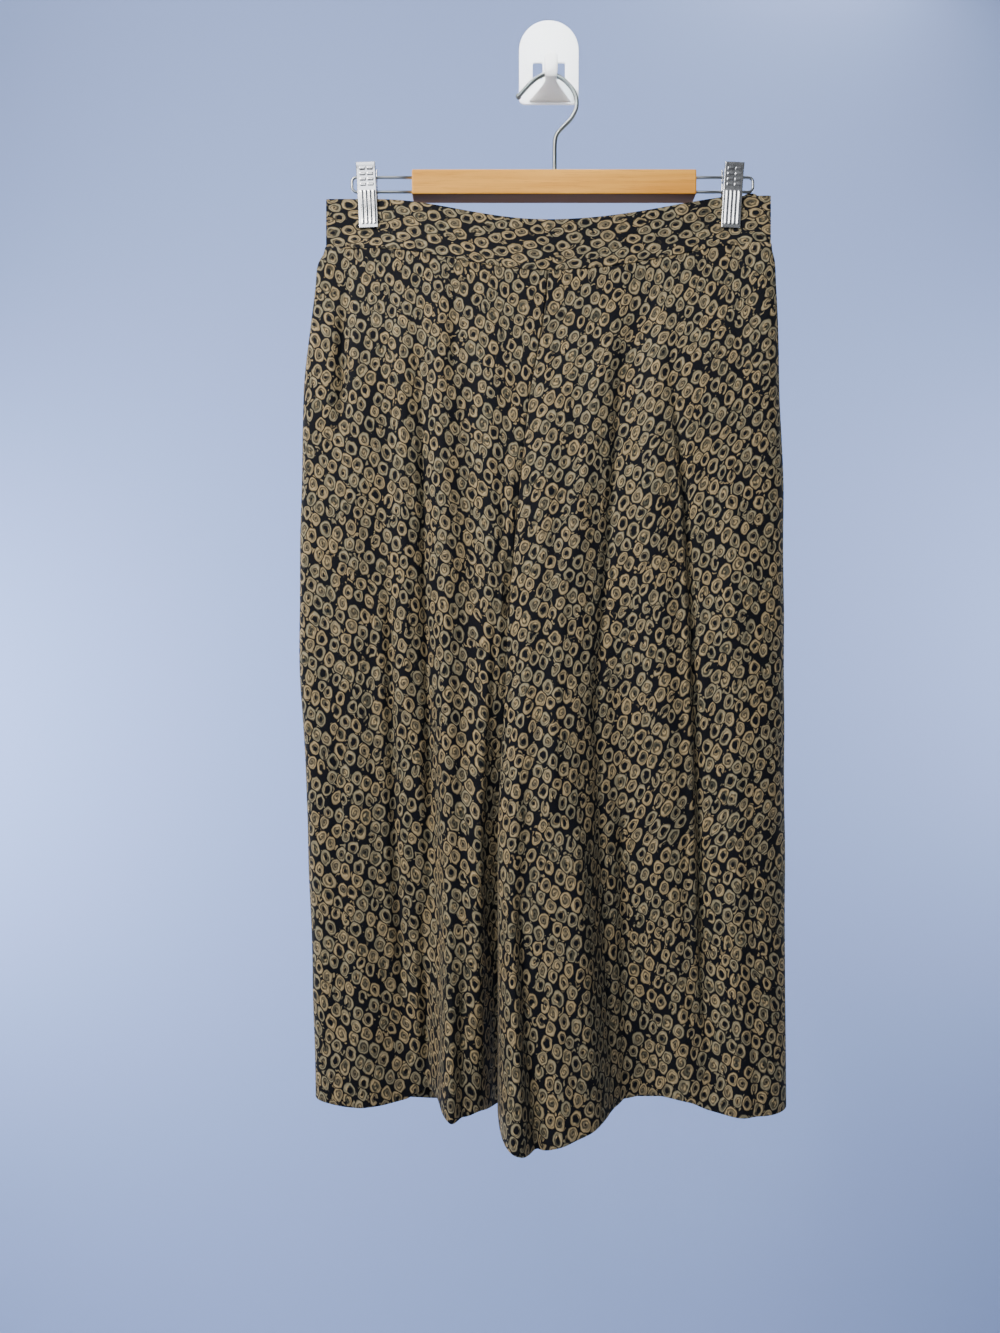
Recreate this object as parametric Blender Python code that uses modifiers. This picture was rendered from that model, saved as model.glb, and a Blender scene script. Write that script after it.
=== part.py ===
"""Culottes clipped to a wooden hanger, which hangs from an adhesive wall hook.

Sizes are in millimetres and become metres where a mesh or a curve is made. X runs to
the right, Z up, and "out" is the distance from the wall, which is the plane Y = 0. The
origin is on the back of the wall hook's plate.
"""
import math
from collections import namedtuple

import bmesh
import bpy
from mathutils import Matrix, Vector
from mathutils.geometry import interpolate_bezier

MM = 0.001
GAP = 0.3                       # between pieces that meet
SHARP_ANGLE = 40.0              # degrees, above which an edge is shaded sharp
HANG_OUT = 16.0                 # the plane in which hook wire, rods and waist hang

# Cloth
PANEL_WALL = 1.4
BAND_WALL = 2.0                 # the waistband is folded double
BAND_HEIGHT = 43.0
BAND_LEVELS = (0.0, 0.3, 0.62, 0.82, 1.0)
BAND_PINCHED = 0.62             # share of the band that lies in the clips' jaws
CLIP_X = 156.0
WAIST_TOP_Z = -136.8            # top of the waistband at the clips
WAIST_SAG = 21.5                # how far it drops between them
WAIST_SAG_POWER = {"left": 2.3, "right": 1.5}    # it hangs fuller on the right
WAIST_TILT = 0.008              # rise to the right
SPAN_STEPS = 3                  # wall faces between two fold lines
CROTCH = 0.42                   # share of the way from the waist seam to the hem
CROTCH_SPREAD = 2.2             # the walls' distance where four panels meet
CROTCH_REACH = 0.024            # share above and below it over which that closes to GAP
SEAM_EDGE = 1.5                 # straight strip beside a seam
CORNER_FADE = 0.012             # how fast the corner under the waistband swells out

# Waistband: x, and the distance from the wall of its front and back, at top and seam
Band = namedtuple("Band", "x front_top front_seam back_top back_seam")
WAISTBAND = (
    Band(-190.0, HANG_OUT, HANG_OUT, HANG_OUT, HANG_OUT),
    Band(-182.0, 17.6, 18.6, 14.4, 13.4),
    Band(-168.0, 17.3, 19.6, 14.7, 12.4),
    Band(-146.0, 17.3, 20.4, 14.7, 11.6),
    Band(-110.0, 20.0, 22.0, 12.0, 10.0),
    Band(-55.0, 23.0, 24.0, 10.0, 9.0),
    Band(0.0, 24.0, 25.0, 9.0, 8.0),
    Band(55.0, 23.0, 24.0, 10.0, 9.0),
    Band(110.0, 20.0, 22.0, 12.0, 10.0),
    Band(145.0, 17.3, 20.4, 14.7, 11.6),
    Band(167.0, 17.3, 19.6, 14.7, 12.4),
    Band(180.0, 17.6, 18.6, 14.4, 13.4),
    Band(188.0, HANG_OUT, HANG_OUT, HANG_OUT, HANG_OUT),
)

# Where the fold lines are measured, as shares of the way from waist seam to hem
STATIONS = (0.0, 0.17, CROTCH, 0.705, 1.0)

# Fold lines of one panel, from the side seam to the centre seam and inseam: x at the
# five stations, distance from the wall at the last four (the waistband gives the first),
# and the height at which the line ends in the hem. Ridges stand out, valleys lie back.
Fold = namedtuple("Fold", "name x out hem")
FRONT_LEFT = (
    Fold("side", (-197, -209, -212, -204, -198), (18, 22, 24, 24), -899),
    Fold("outer ridge", (-168, -169, -171, -165, -161), (29, 34, 36, 38), -899),
    Fold("outer valley", (-137, -138, -136, -131, -123), (28, 30, 29, 26), -899),
    Fold("middle ridge", (-123, -123, -121, -116, -112), (32, 36, 33, 24), -897),
    Fold("middle valley", (-109, -108, -105, -100, -102), (27, 30, 28, 22), -893),
    Fold("great ridge", (-96, -93, -88, -86, -83), (33, 42, 52, 72), -901),
    Fold("inner valley", (-81, -76, -70, -72, -70), (29, 35, 46, 56), -901),
    Fold("inner ridge", (-51, -51, -52, -60, -60), (32, 40, 51, 52), -899),
    Fold("inner edge", (-30, -36, -45, -54, -53), (31, 36, 40, 40), -902),
    Fold("tuck", (-14, -26, -42, -48, -47), (29, 28, 24, 24), -905),
    Fold("seam", (-2, -19, -36, -42, -41), (27, 16, 16, 16), -904),
)
FRONT_RIGHT = (
    Fold("side", (192, 196, 198, 198, 199), (18, 22, 24, 24), -906),
    Fold("outer ridge", (157, 157, 157, 157, 164), (32, 40, 44, 46), -909),
    Fold("outer valley", (119, 105, 120, 125, 135), (33, 34, 35, 32), -908),
    Fold("middle ridge", (100, 87, 91, 96, 115), (36, 44, 46, 34), -900),
    Fold("middle valley", (79, 63, 51, 60, 81), (28, 33, 29, 20), -899),
    Fold("great ridge", (59, 38, 15, 4, 12), (36, 46, 64, 78), -916),
    Fold("inner valley", (46, 23, -4, -21, -14), (34, 43, 60, 71), -923),
    Fold("inner ridge", (32, 8, -16, -32, -29), (34, 44, 66, 88), -919),
    Fold("inner edge", (19, -5, -26, -42, -39), (32, 38, 54, 78), -914),
    Fold("tuck", (8, -12, -32, -44, -44), (30, 30, 38, 46), -903),
    Fold("seam", (-2, -19, -36, -40, -41), (27, 16, 30, 30), -904),
)
BACK_LEFT = (
    Fold("side", (-197, -209, -212, -204, -198), (18, 22, 24, 24), -899),
    Fold("outer fold", (-163, -170, -173, -170, -165), (9, 8, 10, 9), -903),
    Fold("middle fold", (-118, -122, -127, -125, -125), (8, 9, 8, 8), -906),
    Fold("inner fold", (-68, -73, -80, -85, -81), (9, 8, 8, 10), -906),
    Fold("tuck", (-14, -29, -42, -46, -44), (8, 9, 8, 8), -906),
    Fold("seam", (-2, -19, -36, -42, -41), (9, 16, 16, 16), -904),
)
BACK_RIGHT = (
    Fold("side", (192, 196, 198, 198, 199), (18, 22, 24, 24), -906),
    Fold("outer fold", (157, 158, 161, 162, 164), (9, 8, 10, 9), -906),
    Fold("middle fold", (106, 96, 87, 78, 83), (8, 9, 8, 8), -905),
    Fold("inner fold", (57, 44, 22, -4, -1), (9, 8, 10, 11), -905),
    Fold("tuck", (10, -8, -27, -31, -30), (8, 9, 22, 24), -903),
    Fold("seam", (-2, -19, -36, -40, -41), (9, 16, 30, 30), -904),
)
CORNER_TUCK = {"left": 6.5, "right": -3.0}     # the waistband draws the top corners in
ROWS_UNDER_BAND = (0.0, 0.006, 0.014, 0.026)
ROWS_ABOVE_CROTCH = 8
ROWS_BELOW_CROTCH = 12

# Wooden bar and the wires in it
BAR_X = 3.4
BAR_LENGTH = 240.8
BAR_DEPTH = 18.0
BAR_HEIGHT = 21.2
BAR_TOP_Z = -115.7
BAR_EDGE = 1.2
BORE_DEPTH = 18.0
BORE_SIDES = 16
ROD_RADIUS = 1.25
ROD_Z = (-118.8, -131.2)
ROD_BEND = 4.0
ROD_BEND_STEPS = 4
ROD_LEFT_END = -170.0
ROD_RIGHT_END = 174.8
WIRE_RADIUS = 1.8
WIRE_RING_STEPS = 2
HOOK_SPAN_STEPS = 2
HOOK_TIP_RADIUS = 2.5
# The hook's route, from its tip over the top and down into the bar: x, z
HOOK_ROUTE = (
    (-26.6, -49.6), (-22.8, -45.2), (-16.0, -37.9), (-8.2, -32.3), (0.3, -30.2),
    (8.6, -33.2), (15.2, -38.2), (20.6, -45.2), (23.1, -53.7), (22.0, -61.6),
    (17.4, -69.6), (11.0, -76.1), (6.2, -82.0), (4.4, -90.0), (4.4, -128.0),
)

# Spring clips: x of the top's middle, and how many degrees the foot swings to the right
Clip = namedtuple("Clip", "name x lean")
CLIPS = (Clip("left", -156.2, 2.2), Clip("right", 156.3, -2.6))
CLIP_TOP_Z = -109.8
CLIP_WIDTH = 16.4
CLIP_SHEET = 1.2
# A jaw's profile: distance down from its top, distance from the hanging plane
JAW_PROFILE = (
    (0.0, 8.6), (6.0, 7.4), (18.0, 5.6), (30.0, 4.6), (42.0, 3.4), (47.0, 3.2), (53.0, 3.2),
)
SADDLE_SIZE = (12.0, 8.0, 19.0)
SADDLE_EDGE = 0.8

# Wall hook: an arched plate with two windows and an upturned tongue, moulded in one
PLATE_WIDTH = 51.6
PLATE_TOP_Z = 24.8
PLATE_BOTTOM_Z = -48.2
PLATE_CORNER = 5.0
PLATE_ARCH_STEPS = 24
PLATE_THICK = 1.8
WINDOW_X = (5.4, 14.1)          # of the right window; the left one mirrors it
WINDOW_Z = (-26.4, -12.0)
WINDOW_CORNER = 1.5
CORNER_STEPS = 4
TONGUE_X = 1.0
TONGUE_CORNER = 0.8
# Sections of the tongue from its foot to its tip: height, half width, and distance from
# the wall of its back and front. The back steps out at the shelf that carries the wire.
Section = namedtuple("Section", "z half_width back front")
TONGUE = (
    Section(-46.6, 20.0, 0.9, 2.6),
    Section(-43.0, 15.4, 0.9, 6.0),
    Section(-39.6, 10.4, 0.9, 11.0),
    Section(-36.6, 6.6, 0.9, 15.6),
    Section(-34.7, 4.6, 0.9, 18.4),
    Section(-33.9, 4.4, 18.2, 19.8),
    Section(-29.5, 5.8, 18.2, 20.6),
    Section(-16.0, 5.8, 18.6, 21.0),
    Section(-12.6, 4.6, 18.9, 20.7),
)


def clear_scene():
    for item in list(bpy.data.objects):
        bpy.data.objects.remove(item, do_unlink=True)


def new_collection(name, parent):
    collection = bpy.data.collections.new(name)
    parent.children.link(collection)
    return collection


def new_material(name, colour, roughness, metallic=0.0):
    material = bpy.data.materials.new(name)
    material.use_nodes = True
    shader = material.node_tree.nodes["Principled BSDF"]
    shader.inputs["Base Color"].default_value = (*colour, 1.0)
    shader.inputs["Roughness"].default_value = roughness
    shader.inputs["Metallic"].default_value = metallic
    return material


def place(obj, collection, material=None, smooth=True):
    """Links an object to its collection alone, with its material and shading."""
    for old in obj.users_collection:
        old.objects.unlink(obj)
    collection.objects.link(obj)
    if material is not None:
        obj.data.materials.append(material)
    if smooth and obj.type == "MESH":
        obj.data.shade_smooth()
        obj.data.set_sharp_from_angle(angle=math.radians(SHARP_ANGLE))
    return obj


def at(x, out, z):
    """A point in millimetres from the wall, as metres in the scene."""
    return Vector((x, -out, z)) * MM


# Curves through measured points

def smooth_at(stations, values, where):
    """Monotone cubic curve through a table's values, level at its start."""
    where = min(max(where, stations[0]), stations[-1])
    spans = [b - a for a, b in zip(stations, stations[1:])]
    rises = [(b - a) / s for a, b, s in zip(values, values[1:], spans)]
    slopes = [0.0]
    for before, after in zip(rises, rises[1:]):
        same_way = before * after > 0
        slopes.append(2 * before * after / (before + after) if same_way else 0.0)
    slopes.append(rises[-1])
    i = max(k for k in range(len(spans)) if stations[k] <= where)
    t = (where - stations[i]) / spans[i]
    start = values[i] * (1 + 2 * t) * (1 - t) ** 2 + slopes[i] * spans[i] * t * (1 - t) ** 2
    end = values[i + 1] * t * t * (3 - 2 * t) - slopes[i + 1] * spans[i] * t * t * (1 - t)
    return start + end


def smooth_step(value):
    value = min(max(value, 0.0), 1.0)
    return value * value * (3 - 2 * value)


def through(points, before, after, steps):
    """Points of a smooth curve through all points; before and after steer its ends."""
    chain = [before, *points, after]
    curve = [points[0]]
    for a, b, c, d in zip(chain, chain[1:], chain[2:], chain[3:]):
        reach = (c - b).length / 3
        leave = b + (c - a).normalized() * reach
        arrive = c - (d - b).normalized() * reach
        curve += interpolate_bezier(b, leave, arrive, c, steps + 1)[1:]
    return curve


def straight_ends(points):
    """The two points that let a curve leave its ends straight."""
    return 2 * points[0] - points[1], 2 * points[-1] - points[-2]


# Cloth

def waist_top(x):
    """Height of the waistband's top edge: it sags between the clips."""
    share = min(abs(x) / CLIP_X, 1.0)
    power = WAIST_SAG_POWER["left" if x < 0 else "right"]
    return WAIST_TOP_Z + WAIST_TILT * x - WAIST_SAG * (1 - share ** 2) ** power


def waist_out(x, column):
    return smooth_at([row.x for row in WAISTBAND], [getattr(row, column) for row in WAISTBAND], x)


def fold_point(fold, share, half, face):
    """A fold line's x, distance from the wall and hem height, at a share of its way down."""
    seam_out = waist_out(fold.x[0], face + "_seam")
    stretch = slice(None)
    if fold.name == "seam":
        stretch = slice(None, 3) if share < CROTCH else slice(2, None)
    x = smooth_at(STATIONS[stretch], fold.x[stretch], share)
    out = smooth_at(STATIONS[stretch], (seam_out, *fold.out)[stretch], share)
    if fold.name == "side":
        x += CORNER_TUCK[half] * math.exp(-((share / CORNER_FADE) ** 2))
    return Vector((x, out, fold.hem))


def drop(point, share):
    """Lowers a point that holds its hem height to its level between waist seam and hem."""
    top = waist_top(point.x) - BAND_HEIGHT - GAP
    return Vector((point.x, point.y, top + (point.z - top) * share))


def seam_offsets(share):
    """Half the distance across the centre seam, and across the inseam and side seam."""
    near = 1 - smooth_step(abs(share - CROTCH) / CROTCH_REACH)
    near_half = GAP / 2 + (CROTCH_SPREAD - GAP) / 2 * near
    centre = near_half if share < CROTCH else CROTCH_SPREAD / 2
    inseam = near_half if share > CROTCH else CROTCH_SPREAD / 2
    return centre, inseam


def panel_row(folds, share, half, face, twin, opposite):
    """One level of a panel: a smooth curve through its fold lines at that level.

    twin is the same panel of the other leg and opposite the other face of this leg.
    """
    points = [fold_point(fold, share, half, face) for fold in folds]
    sign = {"left": -1, "right": 1}[half]
    depth = {"front": 1, "back": -1}[face]
    centre, inseam = seam_offsets(share)
    points[0].y += depth * GAP / 2
    points[-1].x += sign * centre
    points[-1].y += depth * inseam * (share >= CROTCH - CROTCH_REACH)
    other_half = {"left": "right", "right": "left"}[half]
    other_face = {"front": "back", "back": "front"}[face]
    side_turn = fold_point(opposite[1], share, half, other_face)
    if share < CROTCH:
        inner_turn = fold_point(twin[-2], share, other_half, face)
    else:
        inner_turn = fold_point(opposite[-2], share, half, other_face)
    row = through(points, side_turn, inner_turn, SPAN_STEPS)
    row.insert(1, points[0] + (points[1] - side_turn).normalized() * SEAM_EDGE)
    row.insert(-1, points[-1] + (points[-2] - inner_turn).normalized() * SEAM_EDGE)
    return [drop(point, share) for point in row]


def cloth(name, rows, wall, material, collection):
    """A cloth wall on a lofted surface: rows of points, all of the same count."""
    mesh = bmesh.new()
    lines = [[mesh.verts.new(at(*point)) for point in row] for row in rows]
    for upper, lower in zip(lines, lines[1:]):
        for a, b, c, d in zip(upper, upper[1:], lower[1:], lower):
            mesh.faces.new((a, b, c, d))
    data = bpy.data.meshes.new(name)
    mesh.to_mesh(data)
    mesh.free()
    obj = place(bpy.data.objects.new(name, data), collection, material)
    wall_of = obj.modifiers.new("cloth wall", "SOLIDIFY")
    wall_of.thickness = wall * MM
    wall_of.offset = 0.0
    return obj


def shares():
    """The levels of a panel's rows, closer together under the band and at the crotch."""
    above = [(CROTCH - CROTCH_REACH) * i / ROWS_ABOVE_CROTCH for i in range(1, ROWS_ABOVE_CROTCH)]
    near = [CROTCH + CROTCH_REACH * i / 2 for i in range(-2, 3)]
    step = (1 - near[-1]) / ROWS_BELOW_CROTCH
    below = [near[-1] + step * i for i in range(1, ROWS_BELOW_CROTCH + 1)]
    return [*ROWS_UNDER_BAND, *above, *near, *below]


def make_panels(material, collection):
    panels = (
        ("front_left", FRONT_LEFT, FRONT_RIGHT, BACK_LEFT),
        ("front_right", FRONT_RIGHT, FRONT_LEFT, BACK_RIGHT),
        ("back_left", BACK_LEFT, BACK_RIGHT, FRONT_LEFT),
        ("back_right", BACK_RIGHT, BACK_LEFT, FRONT_RIGHT),
    )
    for name, folds, twin, opposite in panels:
        face, half = name.split("_")
        rows = [panel_row(folds, share, half, face, twin, opposite) for share in shares()]
        cloth(name, rows, PANEL_WALL, material, collection)


def make_waistband(material, collection):
    """Front and back of the band: flat in the clips' jaws, wider apart at the seam."""
    for face, depth in (("front", 1), ("back", -1)):
        rows = []
        for level in BAND_LEVELS:
            opening = smooth_step((level - BAND_PINCHED) / (1 - BAND_PINCHED))
            points = []
            for edge in WAISTBAND:
                top, seam = getattr(edge, face + "_top"), getattr(edge, face + "_seam")
                points.append(Vector((edge.x, top + (seam - top) * opening)))
            turn = Vector((0, 2 * (HANG_OUT - points[1].y)))
            points[0].y += depth * GAP / 2
            points[-1].y += depth * GAP / 2
            row = through(points, points[1] + turn, points[-2] + turn, SPAN_STEPS)
            row.insert(1, points[0] - turn.normalized() * SEAM_EDGE)
            row.insert(-1, points[-1] - turn.normalized() * SEAM_EDGE)
            rows.append([(x, out, waist_top(x) - level * BAND_HEIGHT) for x, out in row])
        cloth("waistband_" + face, rows, BAND_WALL, material, collection)


# Hard pieces

def wire_mesh(name, route, radius, collection):
    """A round wire along a route of points, as one closed mesh with welded caps."""
    curve = bpy.data.curves.new(name, "CURVE")
    curve.dimensions = "3D"
    curve.bevel_depth = radius * MM
    curve.bevel_resolution = WIRE_RING_STEPS
    curve.use_fill_caps = True
    spline = curve.splines.new("POLY")
    spline.points.add(len(route) - 1)
    for point, place_at in zip(spline.points, route):
        point.co = (*at(*place_at), 1.0)
    return curve_to_mesh(curve, name, collection)


def curve_to_mesh(curve, name, collection):
    holder = bpy.data.objects.new(name + "_curve", curve)
    collection.objects.link(holder)
    bpy.context.view_layer.update()
    evaluated = holder.evaluated_get(bpy.context.evaluated_depsgraph_get())
    data = bpy.data.meshes.new_from_object(evaluated)
    mesh = bmesh.new()
    mesh.from_mesh(data)
    bmesh.ops.remove_doubles(mesh, verts=mesh.verts, dist=0.00001)
    mesh.to_mesh(data)
    mesh.free()
    obj = bpy.data.objects.new(name, data)
    obj.matrix_world = holder.matrix_world
    bpy.data.objects.remove(holder, do_unlink=True)
    return obj


def box(name, middle, size):
    """A box around a middle point (x, out, z), with its scale applied."""
    bpy.ops.mesh.primitive_cube_add(size=1.0)
    obj = bpy.context.object
    obj.name = name
    obj.data.transform(Matrix.Diagonal((*(value * MM for value in size), 1.0)))
    obj.location = at(*middle)
    return obj


def cutter(name, start, end, radius, cutters):
    """A round bore between two points, as a hidden guide."""
    a, b = at(*start), at(*end)
    length = (b - a).length
    bpy.ops.mesh.primitive_cylinder_add(vertices=BORE_SIDES, radius=radius * MM, depth=length)
    obj = bpy.context.object
    obj.name = name
    obj.rotation_euler = (b - a).to_track_quat("Z", "Y").to_euler()
    obj.location = (a + b) / 2
    return hide_guide(obj, cutters)


def hide_guide(obj, cutters):
    place(obj, cutters, smooth=False)
    obj.hide_render = True
    obj.display_type = "WIRE"
    return obj


def combine(obj, tool, operation):
    modifier = obj.modifiers.new(tool.name, "BOOLEAN")
    modifier.operation = operation
    modifier.object = tool
    modifier.solver = "EXACT"


def soften(obj, width, segments=2):
    modifier = obj.modifiers.new("softened edges", "BEVEL")
    modifier.width = width * MM
    modifier.segments = segments
    modifier.limit_method = "ANGLE"


def make_bar(material, collection, cutters):
    """The wooden bar, bored from above for the hook and from both ends for the rods."""
    middle_z = BAR_TOP_Z - BAR_HEIGHT / 2
    bar = box("wood_bar", (BAR_X, HANG_OUT, middle_z), (BAR_LENGTH, BAR_DEPTH, BAR_HEIGHT))
    place(bar, collection, material)
    soften(bar, BAR_EDGE)
    stem_x, stem_end = HOOK_ROUTE[-1]
    bores = [((stem_x, HANG_OUT, BAR_TOP_Z + 2), (stem_x, HANG_OUT, stem_end - GAP), WIRE_RADIUS)]
    for sign in (-1, 1):
        end_x = BAR_X + sign * BAR_LENGTH / 2
        for z in ROD_Z:
            mouth = (end_x + sign * 2, HANG_OUT, z)
            foot = (end_x - sign * (BORE_DEPTH + GAP), HANG_OUT, z)
            bores.append((mouth, foot, ROD_RADIUS))
    for i, (start, end, radius) in enumerate(bores):
        combine(bar, cutter(f"bar_bore_{i}", start, end, radius + GAP, cutters), "DIFFERENCE")


def bent_corner(x, z, sign, turn):
    """Points round one bend of a rod, from its straight run into its end."""
    middle = Vector((x - sign * ROD_BEND, z - turn * ROD_BEND))
    for i in range(ROD_BEND_STEPS + 1):
        angle = math.radians(90 * (1 - i / ROD_BEND_STEPS))
        step = Vector((sign * math.cos(angle), turn * math.sin(angle))) * ROD_BEND
        yield middle + step


def make_rods(material, collection):
    """Two wires bent to a U, with both ends in the bar."""
    for name, sign, end_x in (("rod_left", -1, ROD_LEFT_END), ("rod_right", 1, ROD_RIGHT_END)):
        root_x = BAR_X + sign * (BAR_LENGTH / 2 - BORE_DEPTH)
        reach = end_x - sign * ROD_RADIUS
        upper = list(bent_corner(reach, ROD_Z[0], sign, 1))
        lower = list(bent_corner(reach, ROD_Z[1], sign, -1))
        path = [Vector((root_x, ROD_Z[0])), *upper, *reversed(lower), Vector((root_x, ROD_Z[1]))]
        route = [(x, HANG_OUT, z) for x, z in path]
        place(wire_mesh(name, route, ROD_RADIUS, collection), collection, material)


def make_hook_wire(material, collection, cutters):
    """The swivel hook, with a small ball on its tip."""
    points = [Vector((x, HANG_OUT, z)) for x, z in HOOK_ROUTE]
    before, after = straight_ends(points)
    route = through(points, before, after, HOOK_SPAN_STEPS)
    wire = place(wire_mesh("hook_wire", route, WIRE_RADIUS, collection), collection, material)
    bpy.ops.mesh.primitive_uv_sphere_add(segments=12, ring_count=8, radius=HOOK_TIP_RADIUS * MM)
    ball = hide_guide(bpy.context.object, cutters)
    ball.name = "hook_tip_ball"
    ball.location = at(*points[0])
    combine(wire, ball, "UNION")


def make_jaw(name, clip, depth, material, collection):
    """One jaw: a bent strip of sheet on the front (depth 1) or back (-1) of the waist."""
    half = CLIP_WIDTH / 2
    mesh = bmesh.new()
    lines = []
    for down, away in JAW_PROFILE:
        lines.append([mesh.verts.new(at(x, depth * away, -down)) for x in (-half, half)])
    for (a, b), (d, c) in zip(lines, lines[1:]):
        mesh.faces.new((a, b, c, d))
    data = bpy.data.meshes.new(name)
    mesh.to_mesh(data)
    mesh.free()
    jaw = place(bpy.data.objects.new(name, data), collection, material)
    lean = Matrix.Rotation(math.radians(-clip.lean), 4, "Y")
    jaw.matrix_world = Matrix.Translation(at(clip.x, HANG_OUT, CLIP_TOP_Z)) @ lean
    sheet = jaw.modifiers.new("sheet", "SOLIDIFY")
    sheet.thickness = CLIP_SHEET * MM
    sheet.offset = 0.0


def make_saddle(clip, material, collection, cutters):
    """The block between the jaws, bored for the two rods on which it slides."""
    middle_z = sum(ROD_Z) / 2
    x = clip.x + math.sin(math.radians(clip.lean)) * (CLIP_TOP_Z - middle_z)
    saddle = box(f"clip_{clip.name}_saddle", (x, HANG_OUT, middle_z), SADDLE_SIZE)
    place(saddle, collection, material)
    soften(saddle, SADDLE_EDGE, 1)
    for i, z in enumerate(ROD_Z):
        ends = [(x + sign * SADDLE_SIZE[0], HANG_OUT, z) for sign in (-1, 1)]
        bore = cutter(f"clip_{clip.name}_bore_{i}", *ends, ROD_RADIUS + GAP, cutters)
        combine(saddle, bore, "DIFFERENCE")


def make_clips(material, collection, cutters):
    for clip in CLIPS:
        for face, depth in (("front", 1), ("back", -1)):
            make_jaw(f"clip_{clip.name}_jaw_{face}", clip, depth, material, collection)
        make_saddle(clip, material, collection, cutters)


def rounded_corner(x, z, radius, start):
    """Points round a corner, a quarter turn from the start angle."""
    for i in range(CORNER_STEPS + 1):
        angle = math.radians(start + 90 * i / CORNER_STEPS)
        yield x + radius * math.cos(angle), z + radius * math.sin(angle)


def rounded_outline(left, right, low, high, radius):
    outline = []
    outline += rounded_corner(right - radius, high - radius, radius, 0)
    outline += rounded_corner(left + radius, high - radius, radius, 90)
    outline += rounded_corner(left + radius, low + radius, radius, 180)
    outline += rounded_corner(right - radius, low + radius, radius, 270)
    return outline


def plate_outline():
    """Arched top, straight sides and rounded lower corners."""
    half = PLATE_WIDTH / 2
    low = PLATE_BOTTOM_Z + PLATE_CORNER
    outline = []
    for i in range(PLATE_ARCH_STEPS + 1):
        angle = math.radians(180 * i / PLATE_ARCH_STEPS)
        outline.append((half * math.cos(angle), PLATE_TOP_Z - half + half * math.sin(angle)))
    outline += rounded_corner(-half + PLATE_CORNER, low, PLATE_CORNER, 180)
    outline += rounded_corner(half - PLATE_CORNER, low, PLATE_CORNER, 270)
    return outline


def tongue_ring(section):
    """One level of the tongue: a rectangle with its corners cut."""
    x, cut = section.half_width, TONGUE_CORNER
    back, front = section.back, section.front
    corners = (
        (-x, back), (x, back),
        (x, front - cut), (x - cut, front), (-x + cut, front), (-x, front - cut),
    )
    return [at(TONGUE_X + dx, out, section.z) for dx, out in corners]


def make_plate(material, collection):
    """The plate from its flat outline, with a window on each side of the tongue."""
    curve = bpy.data.curves.new("wall_hook", "CURVE")
    curve.dimensions = "2D"
    curve.fill_mode = "BOTH"
    curve.extrude = PLATE_THICK / 2 * MM
    inner, outer = WINDOW_X
    outlines = [
        plate_outline(),
        rounded_outline(-outer, -inner, *WINDOW_Z, WINDOW_CORNER),
        rounded_outline(inner, outer, *WINDOW_Z, WINDOW_CORNER),
    ]
    for outline in outlines:
        spline = curve.splines.new("POLY")
        spline.points.add(len(outline) - 1)
        spline.use_cyclic_u = True
        for point, (x, z) in zip(spline.points, outline):
            point.co = (x * MM, z * MM, 0.0, 1.0)
    plate = place(curve_to_mesh(curve, "wall_hook", collection), collection, material)
    upright = Matrix.Rotation(math.radians(90), 4, "X")
    plate.matrix_world = Matrix.Translation(at(0, PLATE_THICK / 2, 0)) @ upright
    return plate


def make_tongue(cutters):
    """The tongue as a loft through its sections, to be joined to the plate."""
    mesh = bmesh.new()
    rings = [[mesh.verts.new(point) for point in tongue_ring(section)] for section in TONGUE]
    for lower, upper in zip(rings, rings[1:]):
        for i in range(len(lower)):
            mesh.faces.new((lower[i - 1], lower[i], upper[i], upper[i - 1]))
    mesh.faces.new(reversed(rings[0]))
    mesh.faces.new(rings[-1])
    bmesh.ops.triangulate(mesh, faces=mesh.faces)
    bmesh.ops.recalc_face_normals(mesh, faces=mesh.faces)
    data = bpy.data.meshes.new("wall_hook_tongue")
    mesh.to_mesh(data)
    mesh.free()
    return hide_guide(bpy.data.objects.new("wall_hook_tongue", data), cutters)


def main():
    clear_scene()
    root = bpy.context.scene.collection
    collection = new_collection("culottes on a clip hanger", root)
    cutters = new_collection("guides", root)
    cloth_material = new_material("dark printed viscose", (0.10, 0.08, 0.055), 0.85)
    wood = new_material("varnished wood", (0.62, 0.36, 0.15), 0.4)
    steel = new_material("nickel-plated steel", (0.60, 0.60, 0.62), 0.25, 1.0)
    plastic = new_material("white plastic", (0.85, 0.86, 0.88), 0.35)
    make_panels(cloth_material, collection)
    make_waistband(cloth_material, collection)
    make_bar(wood, collection, cutters)
    make_rods(steel, collection)
    make_hook_wire(steel, collection, cutters)
    make_clips(steel, collection, cutters)
    combine(make_plate(plastic, collection), make_tongue(cutters), "UNION")


main()
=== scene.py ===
"""Printed viscose culottes, clipped to a wooden hanger on an adhesive wall hook.

Sizes are in millimetres until a mesh is made. X runs to the right, Z up, and "out" is the
distance from the wall that it hangs on, which is the plane Y = 0 and isn't built.
"""
import math
from collections import namedtuple

import bpy
import numpy as np
from mathutils import Matrix, Vector, noise
from mathutils.geometry import interpolate_bezier


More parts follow.
